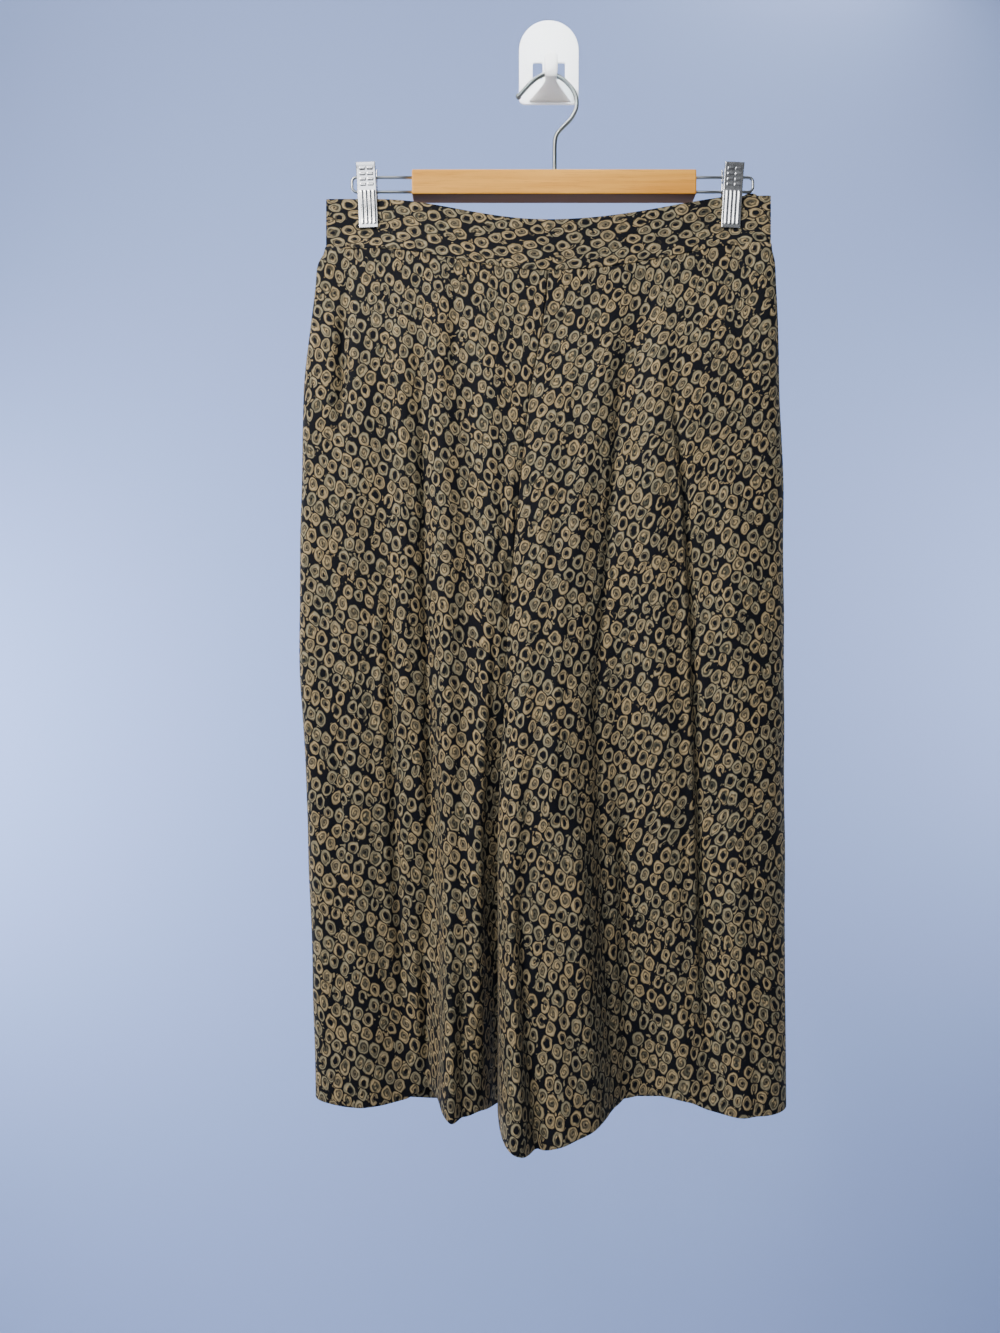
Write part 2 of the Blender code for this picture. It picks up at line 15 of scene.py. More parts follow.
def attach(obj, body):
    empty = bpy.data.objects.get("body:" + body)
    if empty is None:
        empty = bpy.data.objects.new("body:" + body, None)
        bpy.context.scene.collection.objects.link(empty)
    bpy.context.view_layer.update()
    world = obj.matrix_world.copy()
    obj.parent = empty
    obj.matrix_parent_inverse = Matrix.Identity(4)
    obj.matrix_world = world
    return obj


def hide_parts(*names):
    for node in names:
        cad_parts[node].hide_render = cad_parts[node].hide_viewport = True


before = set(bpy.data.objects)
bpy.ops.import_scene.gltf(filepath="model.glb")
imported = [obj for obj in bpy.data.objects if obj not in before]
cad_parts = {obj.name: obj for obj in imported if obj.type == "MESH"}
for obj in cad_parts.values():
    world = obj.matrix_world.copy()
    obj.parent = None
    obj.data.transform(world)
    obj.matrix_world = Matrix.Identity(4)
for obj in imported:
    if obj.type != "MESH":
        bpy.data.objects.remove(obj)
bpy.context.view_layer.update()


# --- Camera -------------------------------------------------------------------------------
# Held level a little left of the middle and at mid-thigh height, 0.87 m from the wall, with
# a wide lens, so the band and the hem are seen from slightly below and slightly above.
camera_data = bpy.data.cameras.new("camera")
camera_data.sensor_fit = "AUTO"
camera_data.sensor_width = 36.0
camera_data.lens = 27.04
camera = bpy.data.objects.new("camera", camera_data)
camera.location = (-0.0424, -0.871, -0.5363)
camera.rotation_euler = (math.radians(90), 0.0, 0.0)
bpy.context.scene.collection.objects.link(camera)
bpy.context.scene.camera = camera


# --- Studio -------------------------------------------------------------------------------
# A matt blue-grey wall 2 m behind the garment over a pale floor. The key comes from the upper
# left, a window beside the camera shows in the metal, three lights wash the wall, and two weak
# ones reach the garment's back and the wall hook.
def linear(hex_colour):
    """Linear colour from an sRGB hex value."""
    channels = [int(hex_colour[i:i + 2], 16) / 255 for i in (1, 3, 5)]
    return tuple(c / 12.92 if c <= 0.04045 else ((c + 0.055) / 1.055) ** 2.4 for c in channels)


def add(tree, kind, inputs=(), **settings):
    """Adds a node. An input is a value, a hex colour, or the node or socket that feeds it."""
    node = tree.nodes.new("ShaderNode" + kind)
    for name, value in settings.items():
        setattr(node, name, value)
    for name, value in inputs.items() if isinstance(inputs, dict) else enumerate(inputs):
        if isinstance(value, bpy.types.Node):
            value = value.outputs[0]
        if isinstance(value, bpy.types.NodeSocket):
            tree.links.new(value, node.inputs[name])
        else:
            is_colour = isinstance(value, str)
            node.inputs[name].default_value = (*linear(value), 1.0) if is_colour else value
    return node


def start_material(name):
    """An empty node material: its tree and its Principled shader."""
    material = bpy.data.materials.new(name)
    material.use_nodes = True
    return material, material.node_tree, material.node_tree.nodes["Principled BSDF"]


def object_from(name, points, faces, material=None):
    """A smooth mesh object from points in metres."""
    data = bpy.data.meshes.new(name)
    data.from_pydata([tuple(p) for p in points], [], faces)
    data.update()
    data.shade_smooth()
    obj = bpy.data.objects.new(name, data)
    bpy.context.scene.collection.objects.link(obj)
    if material is not None:
        data.materials.append(material)
    return obj


# rolled emulsion: no gloss, and a stipple that only just shows
wall_paint, tree, shader = start_material("matt emulsion paint")
stipple = add(tree, "TexNoise", {"Scale": 60.0, "Detail": 3.0})
bump = add(tree, "Bump", {"Height": stipple, "Strength": 0.04})
tree.links.new(bump.outputs["Normal"], shader.inputs["Normal"])
shader.inputs["Base Color"].default_value = (*linear("#9CB2E6"), 1.0)
shader.inputs["Roughness"].default_value = 0.9

# limewash: chalky and a little mottled
floor_paint, tree, shader = start_material("pale limewashed floor")
wash = add(tree, "TexNoise", {"Scale": 3.0, "Detail": 4.0})
mottle = add(tree, "Mix", {0: wash, 6: "#D3D5D8", 7: "#DEDFE0"}, data_type="RGBA")
tree.links.new(mottle.outputs[2], shader.inputs["Base Color"])
shader.inputs["Roughness"].default_value = 0.85

ROOM_HALF_WIDTH, ROOM_FRONT, ROOM_TOP = 4.5, -4.0, 2.6
FLOOR_Z, BACK_WALL_Y = -2.6, 2.0
floor = object_from("studio_floor", [
    (-ROOM_HALF_WIDTH, ROOM_FRONT, FLOOR_Z), (ROOM_HALF_WIDTH, ROOM_FRONT, FLOOR_Z),
    (ROOM_HALF_WIDTH, BACK_WALL_Y, FLOOR_Z), (-ROOM_HALF_WIDTH, BACK_WALL_Y, FLOOR_Z),
], [(0, 1, 2, 3)], floor_paint)
wall = object_from("studio_wall", [
    (-ROOM_HALF_WIDTH, BACK_WALL_Y, FLOOR_Z), (ROOM_HALF_WIDTH, BACK_WALL_Y, FLOOR_Z),
    (ROOM_HALF_WIDTH, BACK_WALL_Y, ROOM_TOP), (-ROOM_HALF_WIDTH, BACK_WALL_Y, ROOM_TOP),
], [(0, 1, 2, 3)], wall_paint)

# places and sizes in metres, power in watts, beam in degrees
Softbox = namedtuple("Softbox", "name place target size power colour beam", defaults=(180,))
SOFTBOXES = (
    Softbox("key", (-1.05, -1.08, 0.80), (-0.1, 0.0, -0.25), 0.8, 54.0, "#FFF6EA"),
    Softbox("window", (-0.60, -2.0, 0.40), (-0.15, 0.0, -0.30), 1.3, 19.0, "#F4F8FF"),
    Softbox("wall top", (-1.0, 0.3, 1.9), (-0.6, 2.0, -1.1), 1.8, 29.0, "#F6F8FF"),
    Softbox("wall left", (-1.95, 0.9, -0.70), (0.2, 2.0, -1.00), 1.2, 60.0, "#E4EDFF"),
    Softbox("wall right", (1.95, 0.9, -0.40), (-0.3, 2.0, -0.40), 1.2, 34.0, "#F0F4FF"),
    Softbox("back", (0.9, 1.7, 1.85), (0.0, 0.0, -0.45), 0.8, 18.0, "#FFFFFF"),
    Softbox("hook", (-0.12, -0.50, 0.45), (0.0, 0.0, 0.01), 0.1, 0.22, "#F2FAFF", 16),
)
for softbox in SOFTBOXES:
    light = bpy.data.lights.new(softbox.name, "AREA")
    light.shape = "SQUARE"
    light.size = softbox.size
    light.energy = softbox.power
    light.color = linear(softbox.colour)
    light.spread = math.radians(softbox.beam)
    lamp = bpy.data.objects.new(softbox.name, light)
    lamp.location = softbox.place
    lamp.visible_camera = False
    towards = Vector(softbox.target) - Vector(softbox.place)
    lamp.rotation_euler = towards.to_track_quat("-Z", "Y").to_euler()
    bpy.context.scene.collection.objects.link(lamp)

# the room around it, paler overhead than at the floor, with a dark doorway to the right
world = bpy.data.worlds.new("room")
world.use_nodes = True
tree = world.node_tree
direction = add(tree, "TexCoord").outputs["Generated"]
height = add(tree, "SeparateXYZ", (direction,)).outputs["Z"]
room_tone = add(tree, "MapRange", (height, -0.5, 0.7, 0.07, 0.36))
from_doorway = add(tree, "VectorMath", (direction, (0.27, -0.95, 0.12)), operation="DISTANCE")
doorway = add(
    tree, "MapRange", (from_doorway.outputs["Value"], 0.05, 0.55, 0.25, 1.0),
    interpolation_type="SMOOTHSTEP")
strength = add(tree, "Math", (room_tone, doorway), operation="MULTIPLY")
background = tree.nodes["Background"]
background.inputs["Color"].default_value = (*linear("#D2D6E0"), 1.0)
tree.links.new(strength.outputs[0], background.inputs["Strength"])
bpy.context.scene.world = world


# --- Printed cloth ------------------------------------------------------------------------
# Soft viscose crepe, woven dull and then printed all over by rotary screen: loose scribbled
# rings in tan on a blue-black ground, taller than wide, closely set, with specks between.
RING_PITCH = (9.6, 12.9)        # across and along the cloth
RING_SCATTER = 0.38             # 0 would set them in rows
ROW_SLANT = 0.46                # the rows run aslant, so none shows
RING_WAVER = 0.22               # how far an outline wavers, in pitches
PEN_TURNS = 2.1                 # from a ring's middle to its rim
STROKE_GAP = 0.68               # how dark the cloth shows between two turns
STRIKE_THROUGH = 0.34           # share of the print that shows on the wrong side
CREPE_RELIEF = 0.35
TAN, GOLD, SAND, OLIVE, GROOVE = "#6A6250", "#B09C75", "#979076", "#414239", "#1A1A18"
GROUND, GROUND_LIT = "#05070D", "#0E121C"


def print_nodes(tree):
    """The print: how much tan, the colour of the tan, and the cloth's place."""
    soft = {"interpolation_type": "SMOOTHSTEP"}
    uv = add(tree, "UVMap", uv_map="cloth")
    pitch = (1000 / RING_PITCH[0], 1000 / RING_PITCH[1], 0.0)
    flat = add(tree, "VectorMath", (uv, pitch), operation="MULTIPLY")
    flat = add(tree, "VectorRotate", {"Vector": flat, "Angle": ROW_SLANT}, rotation_type="Z_AXIS")
    waver = add(
        tree, "TexNoise", {"Vector": flat, "Scale": 1.5, "Detail": 1.0}, noise_dimensions="2D")
    off_centre = add(
        tree, "VectorMath", (waver.outputs["Color"], (0.5, 0.5, 0.5)), operation="SUBTRACT")
    amount = (RING_WAVER, RING_WAVER, 0.0)
    place = add(tree, "VectorMath", (off_centre, amount, flat), operation="MULTIPLY_ADD")

    # a cell for each ring, and the chances by which that ring is drawn
    cell = {"Vector": place, "Scale": 1.0, "Randomness": RING_SCATTER}
    rings = add(tree, "TexVoronoi", cell, voronoi_dimensions="2D", feature="F1")
    border = add(tree, "TexVoronoi", cell, voronoi_dimensions="2D", feature="DISTANCE_TO_EDGE")
    room = add(tree, "TexVoronoi", cell, voronoi_dimensions="2D", feature="N_SPHERE_RADIUS")
    centre = rings.outputs["Position"]
    chance = add(tree, "SeparateColor", (rings.outputs["Color"],)).outputs
    dice = add(tree, "TexWhiteNoise", {"Vector": centre}, noise_dimensions="2D")
    more = add(tree, "SeparateColor", (dice.outputs["Color"],)).outputs
    from_centre = add(tree, "VectorMath", (place, centre), operation="SUBTRACT")
    tilt = add(tree, "Math", (chance[0], 1.3, -0.50 - ROW_SLANT), operation="MULTIPLY_ADD")
    turned = add(
        tree, "VectorRotate", {"Vector": from_centre, "Angle": tilt}, rotation_type="Z_AXIS")
    slim = add(tree, "Math", (chance[1], 0.36, 0.94), operation="MULTIPLY_ADD")
    squash = add(tree, "CombineXYZ", (slim, 1.0, 0.0))
    local = add(tree, "VectorMath", (turned, squash), operation="MULTIPLY")
    axes = add(tree, "SeparateXYZ", (local,)).outputs
    reach = add(tree, "VectorMath", (local,), operation="LENGTH").outputs["Value"]
    size = add(tree, "Math", (room.outputs["Radius"], 0.40, 0.262), operation="MULTIPLY_ADD")
    size = add(tree, "Math", (chance[2], 0.08, size), operation="MULTIPLY_ADD")
    radius = add(tree, "Math", (reach, size), operation="DIVIDE")
    around = add(tree, "Math", (axes[1], axes[0]), operation="ARCTAN2")
    jitter = add(
        tree, "TexNoise", {"Vector": flat, "Scale": 2.5, "Detail": 1.0}, noise_dimensions="2D")
    bend = add(tree, "Math", (jitter, 0.30, -0.15), operation="MULTIPLY_ADD")
    drawn = add(tree, "Math", (radius, bend), operation="ADD")

    # the pen's line: a loose spiral, uneven in weight, that leaves dark cloth between its turns
    wind = add(tree, "Math", (around, 0.5 / math.pi, more[0]), operation="MULTIPLY_ADD")
    wind = add(tree, "Math", (drawn, PEN_TURNS, wind), operation="MULTIPLY_ADD")
    wind = add(tree, "Math", (wind,), operation="FRACT")
    groove = add(tree, "Math", (wind, 0.5), operation="SUBTRACT")
    groove = add(tree, "Math", (groove,), operation="ABSOLUTE")
    gap = add(tree, "MapRange", (groove, 0.40, 0.10), **soft)
    wound = add(tree, "MapRange", (drawn, 0.92, 0.72), **soft)
    gap = add(tree, "Math", (gap, wound), operation="MULTIPLY")

    # the ring's outer line, its open middle in most rings, and a gap in a few
    inside = add(tree, "MapRange", (drawn, 1.12, 0.84), **soft)
    clear = add(tree, "MapRange", (border.outputs["Distance"], 0.0, 0.09), **soft)
    inside = add(tree, "Math", (inside, clear), operation="MULTIPLY")
    hole = add(tree, "Math", (more[1], 0.56, -0.04), operation="MULTIPLY_ADD")
    hole = add(tree, "Math", (drawn, hole), operation="SUBTRACT")
    open_middle = add(tree, "MapRange", (hole, 0.12, -0.08), **soft)
    turn = add(tree, "Math", (more[2], 2 * math.pi, -math.pi), operation="MULTIPLY_ADD")
    apart = add(tree, "Math", (around, turn), operation="SUBTRACT")
    apart = add(tree, "Math", (apart,), operation="ABSOLUTE")
    cut = add(tree, "MapRange", (apart, 0.50, 0.25), **soft)
    a_few = add(tree, "MapRange", (chance[1], 0.84, 0.87), **soft)
    cut = add(tree, "Math", (cut, a_few), operation="MULTIPLY")
    cut = add(tree, "Math", (open_middle, cut), operation="MAXIMUM")
    solid = add(tree, "Math", (1.0, cut), operation="SUBTRACT", use_clamp=True)
    rings_tan = add(tree, "Math", (inside, solid), operation="MULTIPLY")

    # specks and commas in the gaps between rings
    streaks = add(
        tree, "VectorMath", (off_centre, (1.1, 1.1, 0.0), place), operation="MULTIPLY_ADD")
    bits = add(
        tree, "TexVoronoi", {"Vector": streaks, "Scale": 1.9, "Randomness": 1.0},
        voronoi_dimensions="2D", feature="F1")
    few = add(tree, "SeparateColor", (bits.outputs["Color"],))
    speck = add(tree, "MapRange", (bits.outputs["Distance"], 0.34, 0.12), **soft)
    few = add(tree, "MapRange", (few, 0.42, 0.50), **soft)
    speck = add(tree, "Math", (speck, few), operation="MULTIPLY")
    outside = add(tree, "MapRange", (drawn, 1.04, 1.22), **soft)
    speck = add(tree, "Math", (speck, outside), operation="MULTIPLY")
    speck = add(tree, "Math", (speck, 0.75), operation="MULTIPLY")
    tan_share = add(tree, "Math", (rings_tan, speck), operation="MAXIMUM")

    # the ink: tan or olive, gold where it lies thick, pale at the rim, dark between the turns
    olive = add(tree, "MapRange", (chance[2], 0.15, 1.1), **soft)
    thick = add(tree, "MapRange", (jitter, 0.44, 0.74), **soft)
    rim = add(tree, "MapRange", (drawn, 0.52, 0.78), **soft)
    rim = add(tree, "Math", (rim, 0.75), operation="MULTIPLY")
    rich = add(tree, "MapRange", (more[0], 0.20, 0.90), **soft)
    gap = add(tree, "Math", (gap, STROKE_GAP), operation="MULTIPLY")
    stroke = add(tree, "Mix", {0: rich, 6: SAND, 7: GOLD}, data_type="RGBA").outputs[2]
    tan = TAN
    for share, ink in ((olive, OLIVE), (thick, GOLD), (rim, stroke), (gap, GROOVE)):
        tan = add(tree, "Mix", {0: share, 6: tan, 7: ink}, data_type="RGBA").outputs[2]
    return tan_share, tan, uv


def crepe_face(tree, uv):
    """The crepe's fine uneven face: threads at about 0.4 mm, drawn at 0.9 to show."""
    across = add(tree, "VectorMath", (uv, (1100.0, 1100.0, 0.0)), operation="MULTIPLY")
    pebble = add(
        tree, "TexNoise", {"Vector": across, "Scale": 1.0, "Detail": 2.0}, noise_dimensions="2D")
    bump = add(tree, "Bump", {"Height": pebble, "Strength": CREPE_RELIEF, "Distance": 0.0004})
    lit = add(tree, "MapRange", (pebble, 0.35, 0.75), interpolation_type="SMOOTHSTEP")
    ground = add(tree, "Mix", {0: lit, 6: GROUND, 7: GROUND_LIT}, data_type="RGBA").outputs[2]
    return bump.outputs["Normal"], pebble, ground


# the right side: matt, with the faint bloom of twisted viscose where it turns from the light
crepe, tree, shader = start_material("printed viscose crepe")
tan_share, tan, uv = print_nodes(tree)
normal, pebble, ground = crepe_face(tree, uv)
dye = add(tree, "Mix", {0: tan_share, 6: ground, 7: tan}, data_type="RGBA")
roughness = add(tree, "Math", (pebble, 0.16, 0.74), operation="MULTIPLY_ADD")
tree.links.new(dye.outputs[2], shader.inputs["Base Color"])
tree.links.new(normal, shader.inputs["Normal"])
tree.links.new(roughness.outputs[0], shader.inputs["Roughness"])
shader.inputs["IOR"].default_value = 1.46
shader.inputs["Specular IOR Level"].default_value = 0.18
shader.inputs["Sheen Weight"].default_value = 0.04
shader.inputs["Sheen Roughness"].default_value = 0.45

# the wrong side: duller and darker, as the print only strikes through
crepe_back, tree, shader = start_material("wrong side of the crepe")
tan_share, tan, uv = print_nodes(tree)
normal, pebble, ground = crepe_face(tree, uv)
through = add(tree, "Math", (tan_share, STRIKE_THROUGH), operation="MULTIPLY")
dye = add(tree, "Mix", {0: through, 6: ground, 7: tan}, data_type="RGBA")
tree.links.new(dye.outputs[2], shader.inputs["Base Color"])
tree.links.new(normal, shader.inputs["Normal"])
shader.inputs["Roughness"].default_value = 0.88
shader.inputs["IOR"].default_value = 1.46
shader.inputs["Specular IOR Level"].default_value = 0.25


# --- Legs ---------------------------------------------------------------------------------
# Four flared panels of single crepe, sewn at the sides, the centre and the inseams. They
# hang in long soft folds, and each line below is a crest or a hollow from waist to hem.
CLOTH_WALL = 0.7
HANG_OUT = 16.0                 # the plane in which hook wire, rods and waist hang
BAND_HEIGHT = 43.0
CLIP_X = 156.0
WAIST_TOP_Z, WAIST_SAG, WAIST_TILT = -136.8, 21.5, 0.008
WAIST_SAG_POWER = {"left": 2.3, "right": 1.5}
CROTCH = 0.42                   # share of the way from the waist seam to the hem
CROTCH_SPREAD, CROTCH_REACH = -1.2, 0.024
SEAM_EDGE = 1.5
CORNER_TUCK = {"left": 6.5, "right": -3.0}
CORNER_FADE = 0.012
STATIONS = (0.0, 0.17, CROTCH, 0.705, 1.0)

# x at the five stations, distance from the wall at the last four, height in the hem
Fold = namedtuple("Fold", "name x out hem")
FRONT_LEFT = (
    Fold("side", (-197, -209, -212, -204, -198), (18, 22, 24, 24), -899),
    Fold("outer ridge", (-168, -169, -171, -165, -161), (29, 34, 36, 38), -903),
    Fold("outer valley", (-137, -138, -136, -131, -123), (28, 30, 29, 26), -901),
    Fold("middle ridge", (-123, -123, -121, -116, -112), (32, 36, 33, 24), -896),
    Fold("middle valley", (-109, -108, -105, -100, -102), (27, 30, 28, 22), -892),
    Fold("great ridge", (-96, -93, -88, -86, -83), (33, 42, 49, 68), -901),
    Fold("inner valley", (-81, -76, -70, -72, -70), (29, 36, 47, 58), -901),
    Fold("inner ridge", (-51, -51, -52, -60, -60), (32, 40, 51, 54), -899),
    Fold("inner edge", (-30, -36, -45, -54, -53), (31, 37, 42, 42), -902),
    Fold("tuck", (-14, -26, -42, -48, -47), (31, 38, 36, 27), -905),
    Fold("seam", (-2, -19, -36, -42, -41), (30, 34, 31, 18), -904),
)
FRONT_RIGHT = (
    Fold("side", (192, 196, 198, 198, 199), (18, 22, 24, 24), -906),
    Fold("outer ridge", (157, 157, 157, 157, 164), (32, 40, 43, 43), -909),
    Fold("outer valley", (119, 105, 120, 125, 135), (33, 34, 35, 32), -908),
    Fold("middle ridge", (100, 87, 91, 96, 115), (36, 41, 42, 34), -900),
    Fold("middle valley", (79, 63, 51, 58, 72), (28, 33, 31, 25), -899),
    Fold("great ridge", (59, 38, 15, 4, 12), (36, 45, 62, 78), -916),
    Fold("inner valley", (46, 23, -4, -21, -14), (34, 43, 59, 71), -923),
    Fold("inner ridge", (32, 8, -16, -32, -29), (34, 43, 64, 88), -919),
    Fold("inner edge", (19, -5, -26, -42, -39), (32, 39, 54, 78), -914),
    Fold("tuck", (8, -12, -32, -44, -44), (31, 38, 47, 50), -903),
    Fold("seam", (-2, -19, -36, -40, -41), (30, 34, 41, 32), -904),
)
BACK_LEFT = (
    FRONT_LEFT[0],
    Fold("outer fold", (-163, -170, -173, -170, -165), (9, 8, 10, 9), -903),
    Fold("middle fold", (-118, -122, -127, -125, -125), (8, 9, 8, 8), -906),
    Fold("inner fold", (-68, -73, -80, -85, -81), (9, 8, 8, 10), -906),
    Fold("tuck", (-14, -29, -42, -46, -44), (8, 9, 8, 8), -906),
    Fold("seam", (-2, -19, -36, -42, -41), (9, 34, 31, 18), -904),
)
BACK_RIGHT = (
    FRONT_RIGHT[0],
    Fold("outer fold", (157, 158, 161, 162, 164), (9, 8, 10, 9), -906),
    Fold("middle fold", (106, 96, 87, 78, 83), (8, 9, 8, 8), -905),
    Fold("inner fold", (57, 44, 22, -4, -1), (9, 8, 10, 11), -905),
    Fold("tuck", (10, -8, -27, -31, -30), (8, 9, 22, 24), -903),
    Fold("seam", (-2, -19, -36, -40, -41), (9, 34, 41, 32), -904),
)

# Waistband: x, and the distance from the wall of its front and back, at top and seam
Band = namedtuple("Band", "x front_top front_seam back_top back_seam")
WAISTBAND = (
    Band(-190.0, HANG_OUT, HANG_OUT, HANG_OUT, HANG_OUT),
    Band(-182.0, 17.6, 18.6, 14.4, 13.4),
    Band(-168.0, 17.3, 19.6, 14.7, 12.4),
    Band(-146.0, 17.3, 20.4, 14.7, 11.6),
    Band(-110.0, 20.0, 22.0, 12.0, 10.0),
    Band(-55.0, 23.0, 24.0, 10.0, 9.0),
    Band(0.0, 24.0, 25.0, 9.0, 8.0),
    Band(55.0, 23.0, 24.0, 10.0, 9.0),
    Band(110.0, 20.0, 22.0, 12.0, 10.0),
    Band(145.0, 17.3, 20.4, 14.7, 11.6),
    Band(167.0, 17.3, 19.6, 14.7, 12.4),
    Band(180.0, 17.6, 18.6, 14.4, 13.4),
    Band(188.0, HANG_OUT, HANG_OUT, HANG_OUT, HANG_OUT),
)

# Small creases: their line as (z, x) from top to foot, their half width, and their depth,
# which is below zero for a ridge. Each fades in and out along its line.
Crease = namedtuple("Crease", "line half_width depth")
FRONT_CREASES = (
    Crease(((-235, -175), (-345, -175)), 5.0, 3.6),
    Crease(((-430, -137), (-606, -133), (-732, -129), (-850, -122)), 3.6, 4.6),
    Crease(((-290, -108), (-420, -106), (-560, -103), (-700, -99)), 3.0, 3.4),
    Crease(((-195, -170), (-260, -176), (-330, -174)), 3.5, 2.4),
    Crease(((-200, -82), (-250, -80), (-300, -82)), 4.0, 1.6),
    Crease(((-560, -112), (-690, -108), (-840, -104)), 4.0, -1.8),
    Crease(((-385, -38), (-470, -35), (-570, -33)), 4.0, 3.6),
    Crease(((-240, 63), (-355, 55), (-450, 48), (-565, 38), (-690, 42), (-895, 52)), 3.6, 3.4),
    Crease(((-262, 97), (-320, 105), (-400, 114), (-500, 119), (-690, 125), (-800, 127),
            (-884, 134)), 3.0, 7.0),
    Crease(((-640, 60), (-730, 62), (-800, 63), (-895, 62)), 4.5, 5.0),
    Crease(((-640, 20), (-760, 26), (-895, 36)), 11.0, -7.5),
    Crease(((-740, -92), (-820, -92), (-895, -93)), 3.0, 4.4),
    Crease(((-700, -28), (-837, -22), (-915, -13)), 3.6, 4.6),
    Crease(((-720, -108), (-810, -106), (-880, -104)), 3.0, 2.6),
    Crease(((-790, -73), (-895, -74)), 3.0, 2.6),
    Crease(((-430, 20), (-560, 12), (-680, 6)), 5.0, 1.8),
    Crease(((-260, -70), (-400, -64), (-520, -62)), 7.0, 1.5),
    Crease(((-600, 165), (-760, 167), (-890, 170)), 6.0, 1.4),
    Crease(((-560, -176), (-720, -178), (-880, -176)), 5.0, 1.5),
    Crease(((-640, 88), (-760, 86), (-860, 92)), 4.0, -1.6),
)
BACK_CREASES = (
    Crease(((-250, -150), (-420, -146), (-560, -150)), 6.0, 5.5),
    Crease(((-330, -95), (-560, -99), (-820, -103)), 6.0, -3.0),
    Crease(((-470, -60), (-640, -64), (-880, -66)), 5.0, 5.5),
    Crease(((-520, -140), (-700, -143), (-890, -140)), 5.0, 4.5),
    Crease(((-240, 30), (-380, 24), (-500, 15)), 6.0, 5.0),
    Crease(((-300, 82), (-520, 70), (-800, 60)), 6.5, -3.0),
    Crease(((-420, 128), (-640, 124), (-890, 120)), 5.0, 5.5),
    Crease(((-600, 40), (-760, 34), (-890, 36)), 5.5, 5.0),
)
CREASE_FADE = 0.22              # share of a crease's length
THROUGH_HEM = -885              # a crease that ends lower runs out through the hem
BROAD, FINE = (34, 150, 1.5), (12, 60, 0.45)   # the cloth's unevenness: across, down, out
PANEL_ROWS = 176
PANEL_LENGTH = 760
SEAM_CALM, BAND_CALM = 16, (4, 70)             # it lies calm at the seams and under the band
SEAM_PRESS, PRESS_WIDTH = 0.45, 1.6
BAND_LAP = 2.0                  # how far a panel goes up under the waistband
HEM_ROLL = 0.75
HEM_DEPTH = 5                   # rows of cloth turned up inside the hem


def smooth_at(stations, values, where):
    """Monotone cubic curve through a table's values, level at its start."""
    where = min(max(where, stations[0]), stations[-1])
    spans = [b - a for a, b in zip(stations, stations[1:])]
    rises = [(b - a) / s for a, b, s in zip(values, values[1:], spans)]
    slopes = [0.0]
    for before, after in zip(rises, rises[1:]):
        same_way = before * after > 0
        slopes.append(2 * before * after / (before + after) if same_way else 0.0)
    slopes.append(rises[-1])
    i = max(k for k in range(len(spans)) if stations[k] <= where)
    t = (where - stations[i]) / spans[i]
    start = values[i] * (1 + 2 * t) * (1 - t) ** 2 + slopes[i] * spans[i] * t * (1 - t) ** 2
    end = values[i + 1] * t * t * (3 - 2 * t) - slopes[i + 1] * spans[i] * t * t * (1 - t)
    return start + end


def smooth_step(value):
    """Rises from 0 to 1, level at both ends."""
    value = min(max(value, 0.0), 1.0)
    return value * value * (3 - 2 * value)


def curve_through(points, before, after, steps):
    """Points of a smooth curve through all points; before and after steer its ends."""
    chain = [before, *points, after]
    curve = [points[0]]
    for a, b, c, d in zip(chain, chain[1:], chain[2:], chain[3:]):
        reach = (c - b).length / 3
        leave = b + (c - a).normalized() * reach
        arrive = c - (d - b).normalized() * reach
        curve += interpolate_bezier(b, leave, arrive, c, steps + 1)[1:]
    return curve


def waist_top(x):
    """Height of the waistband's top edge: it sags between the clips."""
    share = min(abs(x) / CLIP_X, 1.0)
    power = WAIST_SAG_POWER["left" if x < 0 else "right"]
    return WAIST_TOP_Z + WAIST_TILT * x - WAIST_SAG * (1 - share ** 2) ** power


def waist_out(x, column):
    """The waistband's distance from the wall at x, in one column of its table."""
    return smooth_at([row.x for row in WAISTBAND], [getattr(row, column) for row in WAISTBAND], x)


def fold_point(fold, share, half, face):
    """A fold line's x, distance from the wall and hem height, at a share of its way down."""
    seam_out = waist_out(fold.x[0], face + "_seam")
    stretch = slice(None)
    if fold.name == "seam":
        stretch = slice(None, 3) if share < CROTCH else slice(2, None)
    x = smooth_at(STATIONS[stretch], fold.x[stretch], share)
    out = smooth_at(STATIONS[stretch], (seam_out, *fold.out)[stretch], share)
    if fold.name == "side":
        side = {"left": 3.0, "right": 11.0}[half]
        x += CORNER_TUCK[half] * math.exp(-((share / CORNER_FADE) ** 2))
        x += 1.3 * smooth_step(share * 8) * noise.noise(Vector((side, share * 9, 0.0)))
    return Vector((x, out, fold.hem))


def drop(point, share):
    """Lowers a point that holds its hem height to its level between waist seam and hem."""
    top = waist_top(point.x) - BAND_HEIGHT
    return Vector((point.x, point.y, top + (point.z - top) * share))


